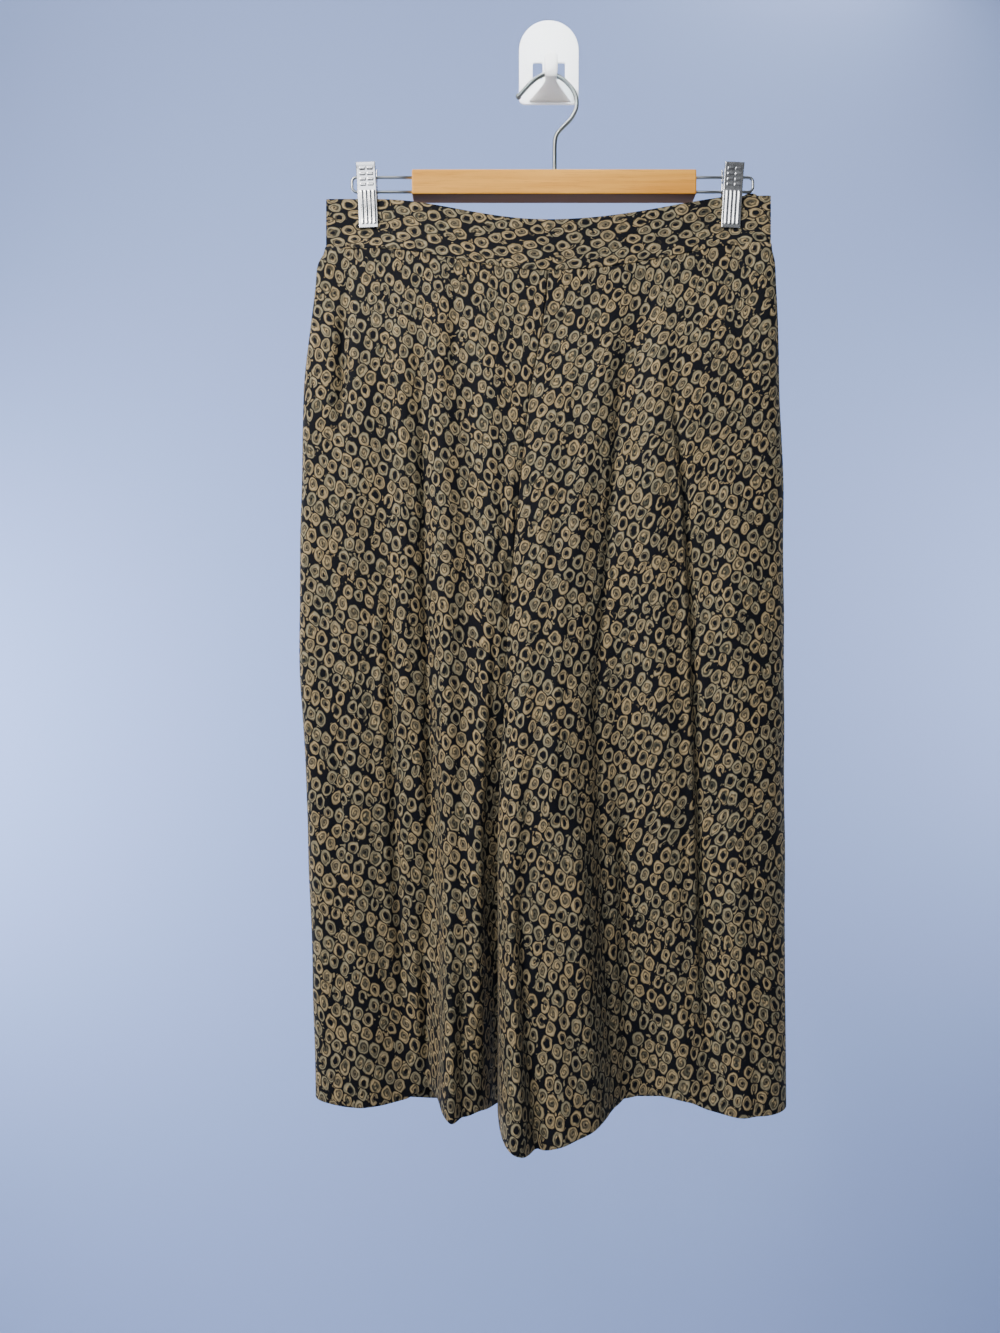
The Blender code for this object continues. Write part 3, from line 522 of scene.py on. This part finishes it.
def panel_row(folds, share, half, face, twin, opposite, steps):
    """One level of a panel: a smooth curve through its fold lines at that level."""
    points = [fold_point(fold, share, half, face) for fold in folds]
    sign = {"left": -1, "right": 1}[half]
    depth = {"front": 1, "back": -1}[face]
    near = 1 - smooth_step(abs(share - CROTCH) / CROTCH_REACH)
    spread = CROTCH_SPREAD / 2
    points[-1].x += sign * (near * spread if share < CROTCH else spread)
    if share >= CROTCH - CROTCH_REACH:
        points[-1].y += depth * (near * spread if share > CROTCH else spread)
    other_half = {"left": "right", "right": "left"}[half]
    other_face = {"front": "back", "back": "front"}[face]
    side_turn = fold_point(opposite[1], share, half, other_face)
    if share < CROTCH:
        inner_turn = fold_point(twin[-2], share, other_half, face)
    else:
        inner_turn = fold_point(opposite[-2], share, half, other_face)
    row = curve_through(points, side_turn, inner_turn, steps)
    row.insert(1, points[0] + (points[1] - side_turn).normalized() * SEAM_EDGE)
    row.insert(-1, points[-1] + (points[-2] - inner_turn).normalized() * SEAM_EDGE)
    return [drop(point, share) for point in row]


def crease_shift(creases, x, z):
    """How far small creases move points in towards the wearer."""
    shift = np.zeros_like(x)
    for crease in creases:
        heights = np.array([point[0] for point in crease.line], float)
        places = np.array([point[1] for point in crease.line], float)
        centre = np.interp(-z, -heights, places)
        along = np.clip((heights[0] - z) / (heights[0] - heights[-1]), 0.0, 1.0)
        if crease.line[-1][0] >= THROUGH_HEM:
            along = np.minimum(along, 1 - along)
        fade = np.clip(along / CREASE_FADE, 0.0, 1.0)
        fade = fade * fade * (3 - 2 * fade)
        side = (x - centre) / crease.half_width
        trough = np.exp(-side ** 2)
        lip = 0.4 * np.exp(-((side + 2.2) / 1.3) ** 2) + 0.2 * np.exp(-((side - 2.4) / 1.5) ** 2)
        shift += crease.depth * fade * (trough - lip)
    return shift


def drape_noise(x, z, seed):
    """Low, long unevenness of hanging cloth, outwards in millimetres."""
    height = np.empty_like(x)
    for index, (a, b) in enumerate(zip(x.flat, z.flat)):
        broad = noise.noise(Vector((a / BROAD[0], b / BROAD[1], seed)))
        fine = noise.noise(Vector((a / FINE[0], b / FINE[1], seed + 5)))
        height.flat[index] = BROAD[2] * broad + FINE[2] * fine
    return height


def flat_cut(grid):
    """How far each point lies along its row and down its column."""
    across = np.linalg.norm(np.diff(grid, axis=1), axis=2)
    down = np.linalg.norm(np.diff(grid, axis=0), axis=2)
    u = np.pad(np.cumsum(across, axis=1), ((0, 0), (1, 0)))
    return u, -np.pad(np.cumsum(down, axis=0), ((1, 0), (0, 0)))


def cloth_uv(obj, grid_u, grid_v, turned=False):
    """The flat cut in metres, one value for each point of the grid."""
    layer = obj.data.uv_layers.new(name="cloth")
    u, v = (grid_v, grid_u) if turned else (grid_u, grid_v)
    corners = np.empty(len(obj.data.loops), dtype=np.int32)
    obj.data.loops.foreach_get("vertex_index", corners)
    flat = np.stack([u.ravel()[corners], v.ravel()[corners]], axis=1)
    layer.data.foreach_set("uv", flat.ravel())


def grid_faces(rows, columns, flip):
    """Four-sided faces between a grid's points."""
    faces = []
    for r in range(rows - 1):
        for c in range(columns - 1):
            a = r * columns + c
            face = (a, a + 1, a + columns + 1, a + columns)
            faces.append(face[::-1] if flip else face)
    return faces


def in_metres(points):
    """Scene points from (x, out, z) in millimetres."""
    turned = np.stack([points[..., 0], -points[..., 1], points[..., 2]], axis=-1)
    return turned.reshape(-1, 3) / 1000


def finished_mesh(obj):
    """The object's mesh as its modifiers leave it."""
    bpy.context.view_layer.update()
    graph = bpy.context.evaluated_depsgraph_get()
    return bpy.data.meshes.new_from_object(obj.evaluated_get(graph))


def make_panel(name, folds, twin, opposite, creases, steps, seed, uv_start):
    """One leg panel, creased and hemmed, with its flat cut as its UV."""
    face, half = name.split("_")
    depth = {"front": 1, "back": -1}[face]
    hand = {"left": 1, "right": -1}[half]
    shares = [i / (PANEL_ROWS - 3) for i in range(PANEL_ROWS - 2)]
    shares = sorted([*shares, CROTCH - 0.0004, CROTCH + 0.0004])
    rows = [panel_row(folds, share, half, face, twin, opposite, steps) for share in shares]
    grid = np.array([[tuple(point) for point in row] for row in rows])
    reach = flat_cut(grid)[0]
    from_edge = np.minimum(reach, reach[:, -1:] - reach)
    calm = np.clip(from_edge / SEAM_CALM, 0, 1)
    below = (np.array(shares) * PANEL_LENGTH - BAND_CALM[0]) / BAND_CALM[1]
    below = np.clip(below, 0, 1)[:, None]
    moved = drape_noise(grid[..., 0], grid[..., 2], seed) - crease_shift(
        creases, grid[..., 0], grid[..., 2])
    grid[..., 1] += depth * moved * calm * calm * (3 - 2 * calm) * below
    grid[..., 1] -= depth * SEAM_PRESS * np.exp(-((from_edge / PRESS_WIDTH) ** 2))
    grid[0, :, 2] += BAND_LAP

    # the hem: the cloth rolls under and runs up again inside
    along = np.gradient(grid[..., :2], axis=1)
    along /= np.linalg.norm(along, axis=2, keepdims=True)
    inward = depth * hand * np.stack([along[..., 1], -along[..., 0]], axis=-1)
    turned_up = []
    for angle in (45, 90, 135, 180):
        row = grid[-1].copy()
        row[:, :2] += inward[-1] * HEM_ROLL * (1 - math.cos(math.radians(angle)))
        row[:, 2] -= HEM_ROLL * math.sin(math.radians(angle))
        turned_up.append(row)
    for k in range(1, HEM_DEPTH):
        row = grid[-1 - k].copy()
        row[:, :2] += inward[-1 - k] * (2 * HEM_ROLL + 0.05 * k)
        turned_up.append(row)
    grid = np.concatenate([grid, np.array(turned_up)], axis=0)

    count, columns = grid.shape[:2]
    u, v = flat_cut(grid)
    u -= u[:, columns // 2][:, None]
    faces = grid_faces(count, columns, depth * hand > 0)
    piece = object_from(name + "_cloth", in_metres(grid), faces)
    piece.data.materials.append(crepe)
    piece.data.materials.append(crepe_back)
    cloth_uv(piece, u / 1000 * hand + uv_start, v / 1000 + uv_start / 3)
    thick = piece.modifiers.new("cloth wall", "SOLIDIFY")
    thick.thickness = CLOTH_WALL / 1000
    thick.offset = 0.0
    thick.material_offset = 1   # the inner face is the crepe's wrong side
    data = finished_mesh(piece)
    piece.modifiers.clear()
    piece.data = data
    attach(piece, "root")
    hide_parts(name)
    return piece


front_left = make_panel(
    "front_left", FRONT_LEFT, FRONT_RIGHT, BACK_LEFT, FRONT_CREASES, 14, 1.3, 0.0)
front_right = make_panel(
    "front_right", FRONT_RIGHT, FRONT_LEFT, BACK_RIGHT, FRONT_CREASES, 14, 4.1, 1.7)
back_left = make_panel(
    "back_left", BACK_LEFT, BACK_RIGHT, FRONT_LEFT, BACK_CREASES, 24, 7.7, 3.1)
back_right = make_panel(
    "back_right", BACK_RIGHT, BACK_LEFT, FRONT_RIGHT, BACK_CREASES, 24, 9.2, 4.9)


# --- Waistband ----------------------------------------------------------------------------
# A straight band 43 mm high of double crepe, cut across the cloth, so the rings lie on their
# sides. It is folded over at the top, sewn to the legs below, and pinched by the clips.
BAND_WALL = 1.9
BAND_PINCHED = 0.62             # share of its height that lies in the clips' jaws
BAND_ROWS = 14
BAND_STEPS = 7
BACK_PEAK = (172.0, 6.0, 3.4)   # the back stands up beside the right clip: x, width, height


def make_band(face, uv_start):
    """The waistband's front or back, with its flat cut as its UV."""
    depth = {"front": 1, "back": -1}[face]
    rows = []
    for i in range(BAND_ROWS):
        level = i / (BAND_ROWS - 1)
        opening = smooth_step((level - BAND_PINCHED) / (1 - BAND_PINCHED))
        points = []
        for edge in WAISTBAND:
            top, seam = getattr(edge, face + "_top"), getattr(edge, face + "_seam")
            points.append(Vector((edge.x, top + (seam - top) * opening)))
        turn = Vector((0, 2 * (HANG_OUT - points[1].y)))
        row = curve_through(points, points[1] + turn, points[-2] + turn, BAND_STEPS)
        row.insert(1, points[0] - turn.normalized() * SEAM_EDGE)
        row.insert(-1, points[-1] - turn.normalized() * SEAM_EDGE)
        line = []
        for x, out in row:
            pucker = noise.noise(Vector((x / 9, level * 3, 2.0 if face == "front" else 8.0)))
            rise = 0.0
            if face == "back":
                peak_x, width, height = BACK_PEAK
                rise = height * math.exp(-(((x - peak_x) / width) ** 4)) * (1 - level) ** 2
            calm = smooth_step((190 - abs(x)) / 20)
            out += depth * calm * 0.35 * pucker * smooth_step((level - 0.3) / 0.5)
            line.append((x, out, waist_top(x) - level * BAND_HEIGHT + rise))
        rows.append(line)
    grid = np.array(rows)
    u, v = flat_cut(grid)
    faces = grid_faces(BAND_ROWS, grid.shape[1], depth > 0)
    piece = object_from(f"waistband_{face}_cloth", in_metres(grid), faces)
    piece.data.materials.append(crepe)
    cloth_uv(piece, u / 1000 + uv_start, v / 1000 + uv_start, turned=True)
    thick = piece.modifiers.new("double cloth", "SOLIDIFY")
    thick.thickness = BAND_WALL / 1000
    thick.offset = 0.0
    rounded = piece.modifiers.new("folded edge", "BEVEL")
    rounded.width = 0.0008
    rounded.segments = 3
    rounded.limit_method = "ANGLE"
    rounded.angle_limit = math.radians(50)
    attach(piece, "root")
    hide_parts("waistband_" + face)
    return piece


for face, uv_start in (("front", 6.3), ("back", 8.1)):
    piece = make_band(face, uv_start)


# --- Wooden bar ---------------------------------------------------------------------------
# A planed bar of pale hardwood 241 mm long, drilled for the hook and the rods, its edges
# eased. Thin satin varnish warms its grain to honey. Its underside gets painted shade.
wood, tree, shader = start_material("varnished hardwood")
soft = {"interpolation_type": "SMOOTHSTEP"}
spot = add(tree, "TexCoord").outputs["Object"]
# growth rings run along the bar, 4 to 8 mm apart on its face
growth = add(tree, "Mapping", {"Vector": spot, "Scale": (6.0, 60.0, 120.0)})
figure = add(
    tree, "TexNoise", {"Vector": growth, "Scale": 1.0, "Detail": 4.0, "Distortion": 0.6})
figure = add(tree, "MapRange", (figure, 0.35, 0.68), **soft)
# pores of about 0.2 mm, drawn 0.7 mm wide to show, and 17 mm long
strands = add(tree, "Mapping", {"Vector": spot, "Scale": (60.0, 900.0, 1500.0)})
fibre = add(tree, "TexNoise", {"Vector": strands, "Scale": 1.0, "Detail": 2.0})
pores = add(tree, "MapRange", (fibre, 0.52, 0.72), **soft)
pores = add(tree, "Math", (pores, 0.3), operation="MULTIPLY")
# painted shade: faces that look down are mixed towards dark brown
facing = add(tree, "NewGeometry").outputs["Normal"]
facing_up = add(tree, "SeparateXYZ", (facing,)).outputs["Z"]
painted_shade_below = add(tree, "MapRange", (facing_up, -0.55, -0.9), **soft)
painted_shade_below = add(tree, "Math", (painted_shade_below, 0.9), operation="MULTIPLY")
tone = add(tree, "Mix", {0: figure, 6: "#ECAC48", 7: "#D89434"}, data_type="RGBA").outputs[2]
tone = add(tree, "Mix", {0: pores, 6: tone, 7: "#A8652A"}, data_type="RGBA").outputs[2]
tone = add(tree, "Mix", {0: painted_shade_below, 6: tone, 7: "#5A3716"}, data_type="RGBA").outputs[2]
bump = add(tree, "Bump", {"Height": fibre, "Strength": 0.12, "Distance": 0.0003})
tree.links.new(tone, shader.inputs["Base Color"])
tree.links.new(bump.outputs["Normal"], shader.inputs["Normal"])
shader.inputs["Roughness"].default_value = 0.6
shader.inputs["IOR"].default_value = 1.5
shader.inputs["Specular IOR Level"].default_value = 0.25
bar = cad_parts["wood_bar"]
bar.data.materials.clear()
bar.data.materials.append(wood)


# --- Hook wire and rods -------------------------------------------------------------------
# A 3.6 mm swivel hook of dull nickel-plated steel wire with a small round tip, and two 2.5 mm
# rods of bright wire, each bent to a U whose ends are pushed into the bar.

# dull plating, blotched every 2 to 3 mm, which breaks up its highlights
wire_steel, tree, shader = start_material("dull nickel-plated steel wire")
spot = add(tree, "TexCoord").outputs["Object"]
drawn = add(tree, "TexNoise", {"Vector": spot, "Scale": 420.0, "Detail": 3.0})
tone = add(tree, "Mix", {0: drawn, 6: "#606566", 7: "#7E8384"}, data_type="RGBA")
roughness = add(tree, "Math", (drawn, 0.16, 0.34), operation="MULTIPLY_ADD")
tree.links.new(tone.outputs[2], shader.inputs["Base Color"])
tree.links.new(roughness.outputs[0], shader.inputs["Roughness"])
shader.inputs["Metallic"].default_value = 1.0

# bright plating over the lines that drawing leaves, drawn 1.1 mm apart to show
bright_wire, tree, shader = start_material("bright nickel-plated wire")
spot = add(tree, "TexCoord").outputs["Object"]
die_lines = add(tree, "Mapping", {"Vector": spot, "Scale": (40.0, 900.0, 900.0)})
drawn = add(tree, "TexNoise", {"Vector": die_lines, "Scale": 1.0, "Detail": 2.0})
tone = add(tree, "Mix", {0: drawn, 6: "#8A8E90", 7: "#A4A8AA"}, data_type="RGBA")
roughness = add(tree, "Math", (drawn, 0.10, 0.26), operation="MULTIPLY_ADD")
tree.links.new(tone.outputs[2], shader.inputs["Base Color"])
tree.links.new(roughness.outputs[0], shader.inputs["Roughness"])
shader.inputs["Metallic"].default_value = 1.0

WIRE_RADIUS, TIP_RADIUS, ROD_RADIUS = 1.8, 2.5, 1.25
WIRE_SIDES = 20
TIP_RINGS, BEND_STEPS = 10, 8
HOOK_ROUTE = (
    (-26.6, -49.6), (-22.8, -45.2), (-16.0, -37.9), (-8.2, -32.3), (0.3, -30.2),
    (8.6, -33.2), (15.2, -38.2), (20.6, -45.2), (23.1, -53.7), (22.0, -61.6),
    (17.4, -69.6), (11.0, -76.1), (6.2, -82.0), (4.4, -90.0), (4.4, -128.0),
)
BAR_X, BAR_LENGTH, BORE_DEPTH = 3.4, 240.8, 18.0
ROD_Z = (-118.8, -131.2)
ROD_BEND = 4.0
ROD_ENDS = {"left": -170.0, "right": 174.8}


def tube_faces(rings, sides):
    """Faces of a tube from its rings of points, closed at both ends."""
    faces = []
    for r in range(rings - 1):
        for c in range(sides):
            a, b = r * sides + c, r * sides + (c + 1) % sides
            faces.append((a, b, b + sides, a + sides))
    last = (rings - 1) * sides
    return [*faces, tuple(range(sides))[::-1], tuple(range(last, last + sides))]


def wire_along(name, route, radii, material):
    """A round wire in the hanging plane, from (x, z) points and a radius at each."""
    path = np.array([tuple(point) for point in route])
    along = np.gradient(path, axis=0)
    along /= np.linalg.norm(along, axis=1, keepdims=True)
    points = []
    for (x, z), (dx, dz), radius in zip(path, along, radii):
        for i in range(WIRE_SIDES):
            angle = 2 * math.pi * i / WIRE_SIDES
            side, forward = radius * math.cos(angle), radius * math.sin(angle)
            points.append((x - dz * side, HANG_OUT + forward, z + dx * side))
    faces = tube_faces(len(path), WIRE_SIDES)
    obj = object_from(name, in_metres(np.array(points)), faces, material)
    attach(obj, "root")
    return obj


hook_points = [Vector(point) for point in HOOK_ROUTE]
hook_line = curve_through(
    hook_points, 2 * hook_points[0] - hook_points[1], 2 * hook_points[-1] - hook_points[-2], 8)
tip = hook_line[0]
lead = (hook_line[1] - tip).normalized()
line, radii = [], []
for i in range(TIP_RINGS):
    angle = math.radians(180 - 138 * i / (TIP_RINGS - 1))
    line.append(tip + lead * TIP_RADIUS * math.cos(angle))
    radii.append(max(TIP_RADIUS * math.sin(angle), 0.15))
ball_foot = (line[-1] - tip).length
for point in hook_line[1:]:
    if (point - tip).length > ball_foot + 0.6:
        line.append(point)
        radii.append(WIRE_RADIUS)
hook = wire_along("hook_wire_round", line, radii, wire_steel)
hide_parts("hook_wire")

for side, sign in (("left", -1), ("right", 1)):
    root_x = BAR_X + sign * (BAR_LENGTH / 2 - BORE_DEPTH)
    bend_x = ROD_ENDS[side] - sign * (ROD_RADIUS + ROD_BEND)
    line = [Vector((root_x, ROD_Z[0])), Vector(((root_x + bend_x) / 2, ROD_Z[0]))]
    for z, start in ((ROD_Z[0] - ROD_BEND, 90), (ROD_Z[1] + ROD_BEND, 0)):
        for i in range(BEND_STEPS + 1):
            angle = math.radians(start - 90 * i / BEND_STEPS)
            bend = Vector((sign * math.cos(angle), math.sin(angle)))
            line.append(Vector((bend_x, z)) + bend * ROD_BEND)
    line += [Vector(((root_x + bend_x) / 2, ROD_Z[1])), Vector((root_x, ROD_Z[1]))]
    rod = wire_along(f"rod_{side}_round", line, [ROD_RADIUS] * len(line), bright_wire)
    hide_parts("rod_" + side)


# --- Spring clips -------------------------------------------------------------------------
# Each clip is two jaws of pressed steel sheet, bright nickel-plated, with a grip of eight
# raised blocks above and four ribs below, their sides turned in round a saddle on the rods.

# bright plating with a haze of handling in 4 mm patches, so it mirrors softly
clip_steel, tree, shader = start_material("bright nickel-plated steel")
spot = add(tree, "TexCoord").outputs["Object"]
haze = add(tree, "TexNoise", {"Vector": spot, "Scale": 260.0, "Detail": 4.0})
tone = add(tree, "Mix", {0: haze, 6: "#CFD0D2", 7: "#E9EAEA"}, data_type="RGBA")
roughness = add(tree, "Math", (haze, 0.10, 0.22), operation="MULTIPLY_ADD")
tree.links.new(tone.outputs[2], shader.inputs["Base Color"])
tree.links.new(roughness.outputs[0], shader.inputs["Roughness"])
shader.inputs["Metallic"].default_value = 1.0

Clip = namedtuple("Clip", "name x lean")
CLIPS = (Clip("left", -156.2, 2.2), Clip("right", 156.3, -2.6))
CLIP_TOP_Z = -109.8
CLIP_WIDTH, CLIP_SHEET = 16.4, 0.9
JAW_LENGTH = 53.0
JAW_DOWN = (0.0, 6.0, 18.0, 30.0, 42.0, 47.0, 53.0)
JAW_AWAY = (8.6, 7.4, 5.6, 4.6, 3.4, 3.2, 3.2)
JAW_ROWS, JAW_COLUMNS = 120, 84
RIB_X = (-4.6, -1.2, 2.2, 5.6)
RIB_SPAN = (22.0, 50.6)
RIB_HALF, RIB_END, RIB_HEIGHT = 1.7, 1.2, 0.5
BLOCK_X = (-3.0, 3.4)
BLOCK_DOWN = (5.0, 9.2, 13.4, 17.6)
BLOCK_HALF, BLOCK_EDGE, BLOCK_HEIGHT = (2.7, 1.15), (0.7, 0.6), 0.32
FLANGE, FLANGE_FOOT = 3.0, 26   # how far the jaw's sides turn in, and how far down
FACE_SHARE, SIDE_BEND = 0.86, 0.6              # flat part of the width, radius at its sides


def relief(x, down):
    """Height of the pressed blocks and ribs above the sheet."""
    height = 0.0
    for rib in RIB_X:
        across = smooth_step(1 - abs(x - rib) / RIB_HALF)
        ends = smooth_step((down - RIB_SPAN[0]) / RIB_END)
        ends *= smooth_step((RIB_SPAN[1] - down) / RIB_END)
        height = max(height, RIB_HEIGHT * across * ends)
    for block in BLOCK_X:
        for level in BLOCK_DOWN:
            across = smooth_step((BLOCK_HALF[0] - abs(x - block)) / BLOCK_EDGE[0])
            up = smooth_step((BLOCK_HALF[1] - abs(down - level)) / BLOCK_EDGE[1])
            height = max(height, BLOCK_HEIGHT * across * up)
    return height


def make_jaw_sheet(clip, face):
    """One jaw of a clip, with its relief and its turned-in sides."""
    depth = {"front": 1, "back": -1}[face]
    half = CLIP_WIDTH / 2
    points = []
    for r in range(JAW_ROWS):
        down = JAW_LENGTH * r / (JAW_ROWS - 1)
        away = smooth_at(JAW_DOWN, JAW_AWAY, down)
        flange = FLANGE * smooth_step((FLANGE_FOOT - down) / 6) + 0.5
        for c in range(JAW_COLUMNS):
            share = 2 * c / (JAW_COLUMNS - 1) - 1
            # 0 on the face, 1 at the flange's end
            bend = max(0.0, abs(share) - FACE_SHARE) / (1 - FACE_SHARE)
            x = math.copysign(min(abs(share) / FACE_SHARE, 1.0), share) * (half - SIDE_BEND)
            lift = relief(x, down)
            turn = math.radians(90) * min(bend * 2.2, 1.0)
            x += math.copysign(SIDE_BEND * math.sin(turn), share)
            back = SIDE_BEND * (1 - math.cos(turn)) + flange * max(0.0, bend - 0.45) / 0.55
            points.append((x, depth * (away + lift - back + CLIP_SHEET / 2), -down))
    turned = []
    lean = math.radians(clip.lean)
    for x, out, z in points:
        turned.append((
            clip.x + x * math.cos(lean) - z * math.sin(lean),
            HANG_OUT + out,
            CLIP_TOP_Z + x * math.sin(lean) + z * math.cos(lean),
        ))
    name = f"clip_{clip.name}_jaw_{face}"
    faces = grid_faces(JAW_ROWS, JAW_COLUMNS, depth > 0)
    obj = object_from(name + "_sheet", in_metres(np.array(turned)), faces, clip_steel)
    sheet = obj.modifiers.new("sheet", "SOLIDIFY")
    sheet.thickness = CLIP_SHEET / 1000
    sheet.offset = -1.0
    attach(obj, "root")
    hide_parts(name)


for clip in CLIPS:
    make_jaw_sheet(clip, "front")
    make_jaw_sheet(clip, "back")
    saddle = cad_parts[f"clip_{clip.name}_saddle"]
    saddle.data.materials.clear()
    saddle.data.materials.append(wire_steel)


# --- Wall hook ----------------------------------------------------------------------------
# One injection moulding in white polypropylene: a thin arched plate with two windows, stuck
# to the wall by its whole back, and a tongue that flares from the plate's foot and turns up.

# a soft gloss over milky depth, with faint flow marks 18 mm across
white_pp, tree, shader = start_material("white moulded polypropylene")
spot = add(tree, "TexCoord").outputs["Object"]
flow = add(tree, "TexNoise", {"Vector": spot, "Scale": 55.0, "Detail": 2.0})
tone = add(tree, "Mix", {0: flow, 6: "#F2F8F8", 7: "#FBFDFC"}, data_type="RGBA")
roughness = add(tree, "Math", (flow, 0.14, 0.28), operation="MULTIPLY_ADD")
tree.links.new(tone.outputs[2], shader.inputs["Base Color"])
tree.links.new(roughness.outputs[0], shader.inputs["Roughness"])
shader.inputs["IOR"].default_value = 1.49
shader.inputs["Subsurface Weight"].default_value = 0.6
shader.inputs["Subsurface Radius"].default_value = (0.008, 0.008, 0.008)
shader.inputs["Subsurface Scale"].default_value = 1.0

PLATE_WIDTH, PLATE_TOP_Z, PLATE_BOTTOM_Z = 51.6, 24.8, -48.2
PLATE_CORNER, PLATE_THICK, PLATE_EASE = 5.0, 1.8, 0.5
WINDOW_X, WINDOW_Z, WINDOW_CORNER = (5.4, 14.1), (-26.4, -12.0), 1.6
ARCH_STEPS = 48
TONGUE_X = 1.0


def quarter_turn(x, z, radius, start, steps=6):
    """Points round a corner, from a start angle in degrees."""
    for i in range(steps + 1):
        angle = math.radians(start + 90 * i / steps)
        yield x + radius * math.cos(angle), z + radius * math.sin(angle)


def window_outline(left, right):
    """A window of the plate between two distances from its middle."""
    low, high, r = WINDOW_Z[0], WINDOW_Z[1], WINDOW_CORNER
    return [
        *quarter_turn(right - r, high - r, r, 0), *quarter_turn(left + r, high - r, r, 90),
        *quarter_turn(left + r, low + r, r, 180), *quarter_turn(right - r, low + r, r, 270),
    ]


half = PLATE_WIDTH / 2
plate_outline = []
for i in range(ARCH_STEPS + 1):
    angle = math.radians(180 * i / ARCH_STEPS)
    plate_outline.append((half * math.cos(angle), PLATE_TOP_Z - half + half * math.sin(angle)))
corner_z = PLATE_BOTTOM_Z + PLATE_CORNER
plate_outline += quarter_turn(-half + PLATE_CORNER, corner_z, PLATE_CORNER, 180)
plate_outline += quarter_turn(half - PLATE_CORNER, corner_z, PLATE_CORNER, 270)
curve = bpy.data.curves.new("wall_plate", "CURVE")
curve.dimensions = "2D"
curve.fill_mode = "BOTH"
curve.extrude = (PLATE_THICK / 2 - PLATE_EASE) / 1000
curve.bevel_depth = PLATE_EASE / 1000
curve.bevel_resolution = 3
curve.offset = -PLATE_EASE / 1000
left_window = window_outline(-WINDOW_X[1], -WINDOW_X[0])
for outline in (plate_outline, left_window, window_outline(*WINDOW_X)):
    spline = curve.splines.new("POLY")
    spline.points.add(len(outline) - 1)
    spline.use_cyclic_u = True
    for point, (x, z) in zip(spline.points, outline):
        point.co = (x / 1000, z / 1000, 0.0, 1.0)
holder = bpy.data.objects.new("wall_plate_outline", curve)
bpy.context.scene.collection.objects.link(holder)
data = finished_mesh(holder)
bpy.data.objects.remove(holder, do_unlink=True)
data.transform(Matrix.Rotation(math.radians(90), 4, "X"))
data.transform(Matrix.Translation((0.0, -PLATE_THICK / 2000, 0.0)))
data.shade_smooth()
data.set_sharp_from_angle(angle=math.radians(40))
data.materials.clear()
data.materials.append(white_pp)
plate = bpy.data.objects.new("wall_plate", data)
bpy.context.scene.collection.objects.link(plate)

# The tongue's sections from its foot to its tip: height, half width, back and front
TONGUE_Z = (-46.8, -45.0, -43.0, -41.2, -39.6, -38.0, -36.6, -35.4, -34.7,
            -34.1, -33.4, -31.5, -29.5, -25.0, -20.0, -16.0, -14.4, -13.2, -12.6)
TONGUE_HALF = (20.0, 17.9, 15.4, 12.8, 10.4, 8.3, 6.6, 5.6, 5.2,
               5.1, 5.1, 5.3, 5.6, 5.8, 5.8, 5.4, 4.4, 2.8, 0.8)
TONGUE_BACK = (0.9, 0.9, 0.9, 0.9, 0.9, 0.9, 0.9, 0.9, 1.6,
               17.6, 18.2, 18.2, 18.2, 18.3, 18.5, 18.6, 18.8, 19.0, 19.4)
TONGUE_FRONT = (2.7, 4.0, 6.0, 8.4, 11.0, 13.4, 15.6, 17.4, 18.4,
                19.2, 19.7, 20.3, 20.7, 20.9, 21.0, 21.0, 20.8, 20.5, 19.9)
TONGUE_SIDES = 28
points = []
for z, wide, back, front in zip(TONGUE_Z, TONGUE_HALF, TONGUE_BACK, TONGUE_FRONT):
    middle, deep = (back + front) / 2, (front - back) / 2
    for i in range(TONGUE_SIDES):
        angle = 2 * math.pi * i / TONGUE_SIDES
        c, s = math.cos(angle), math.sin(angle)
        points.append((
            TONGUE_X + wide * math.copysign(abs(c) ** 0.45, c),
            middle + deep * math.copysign(abs(s) ** 0.6, s),
            z,
        ))
faces = tube_faces(len(TONGUE_Z), TONGUE_SIDES)
tongue = object_from("wall_hook_tongue", in_metres(np.array(points)), faces, white_pp)
soft = tongue.modifiers.new("moulded form", "SUBSURF")
soft.levels = soft.render_levels = 2
for piece in (plate, tongue):
    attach(piece, "root")
    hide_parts("wall_hook")
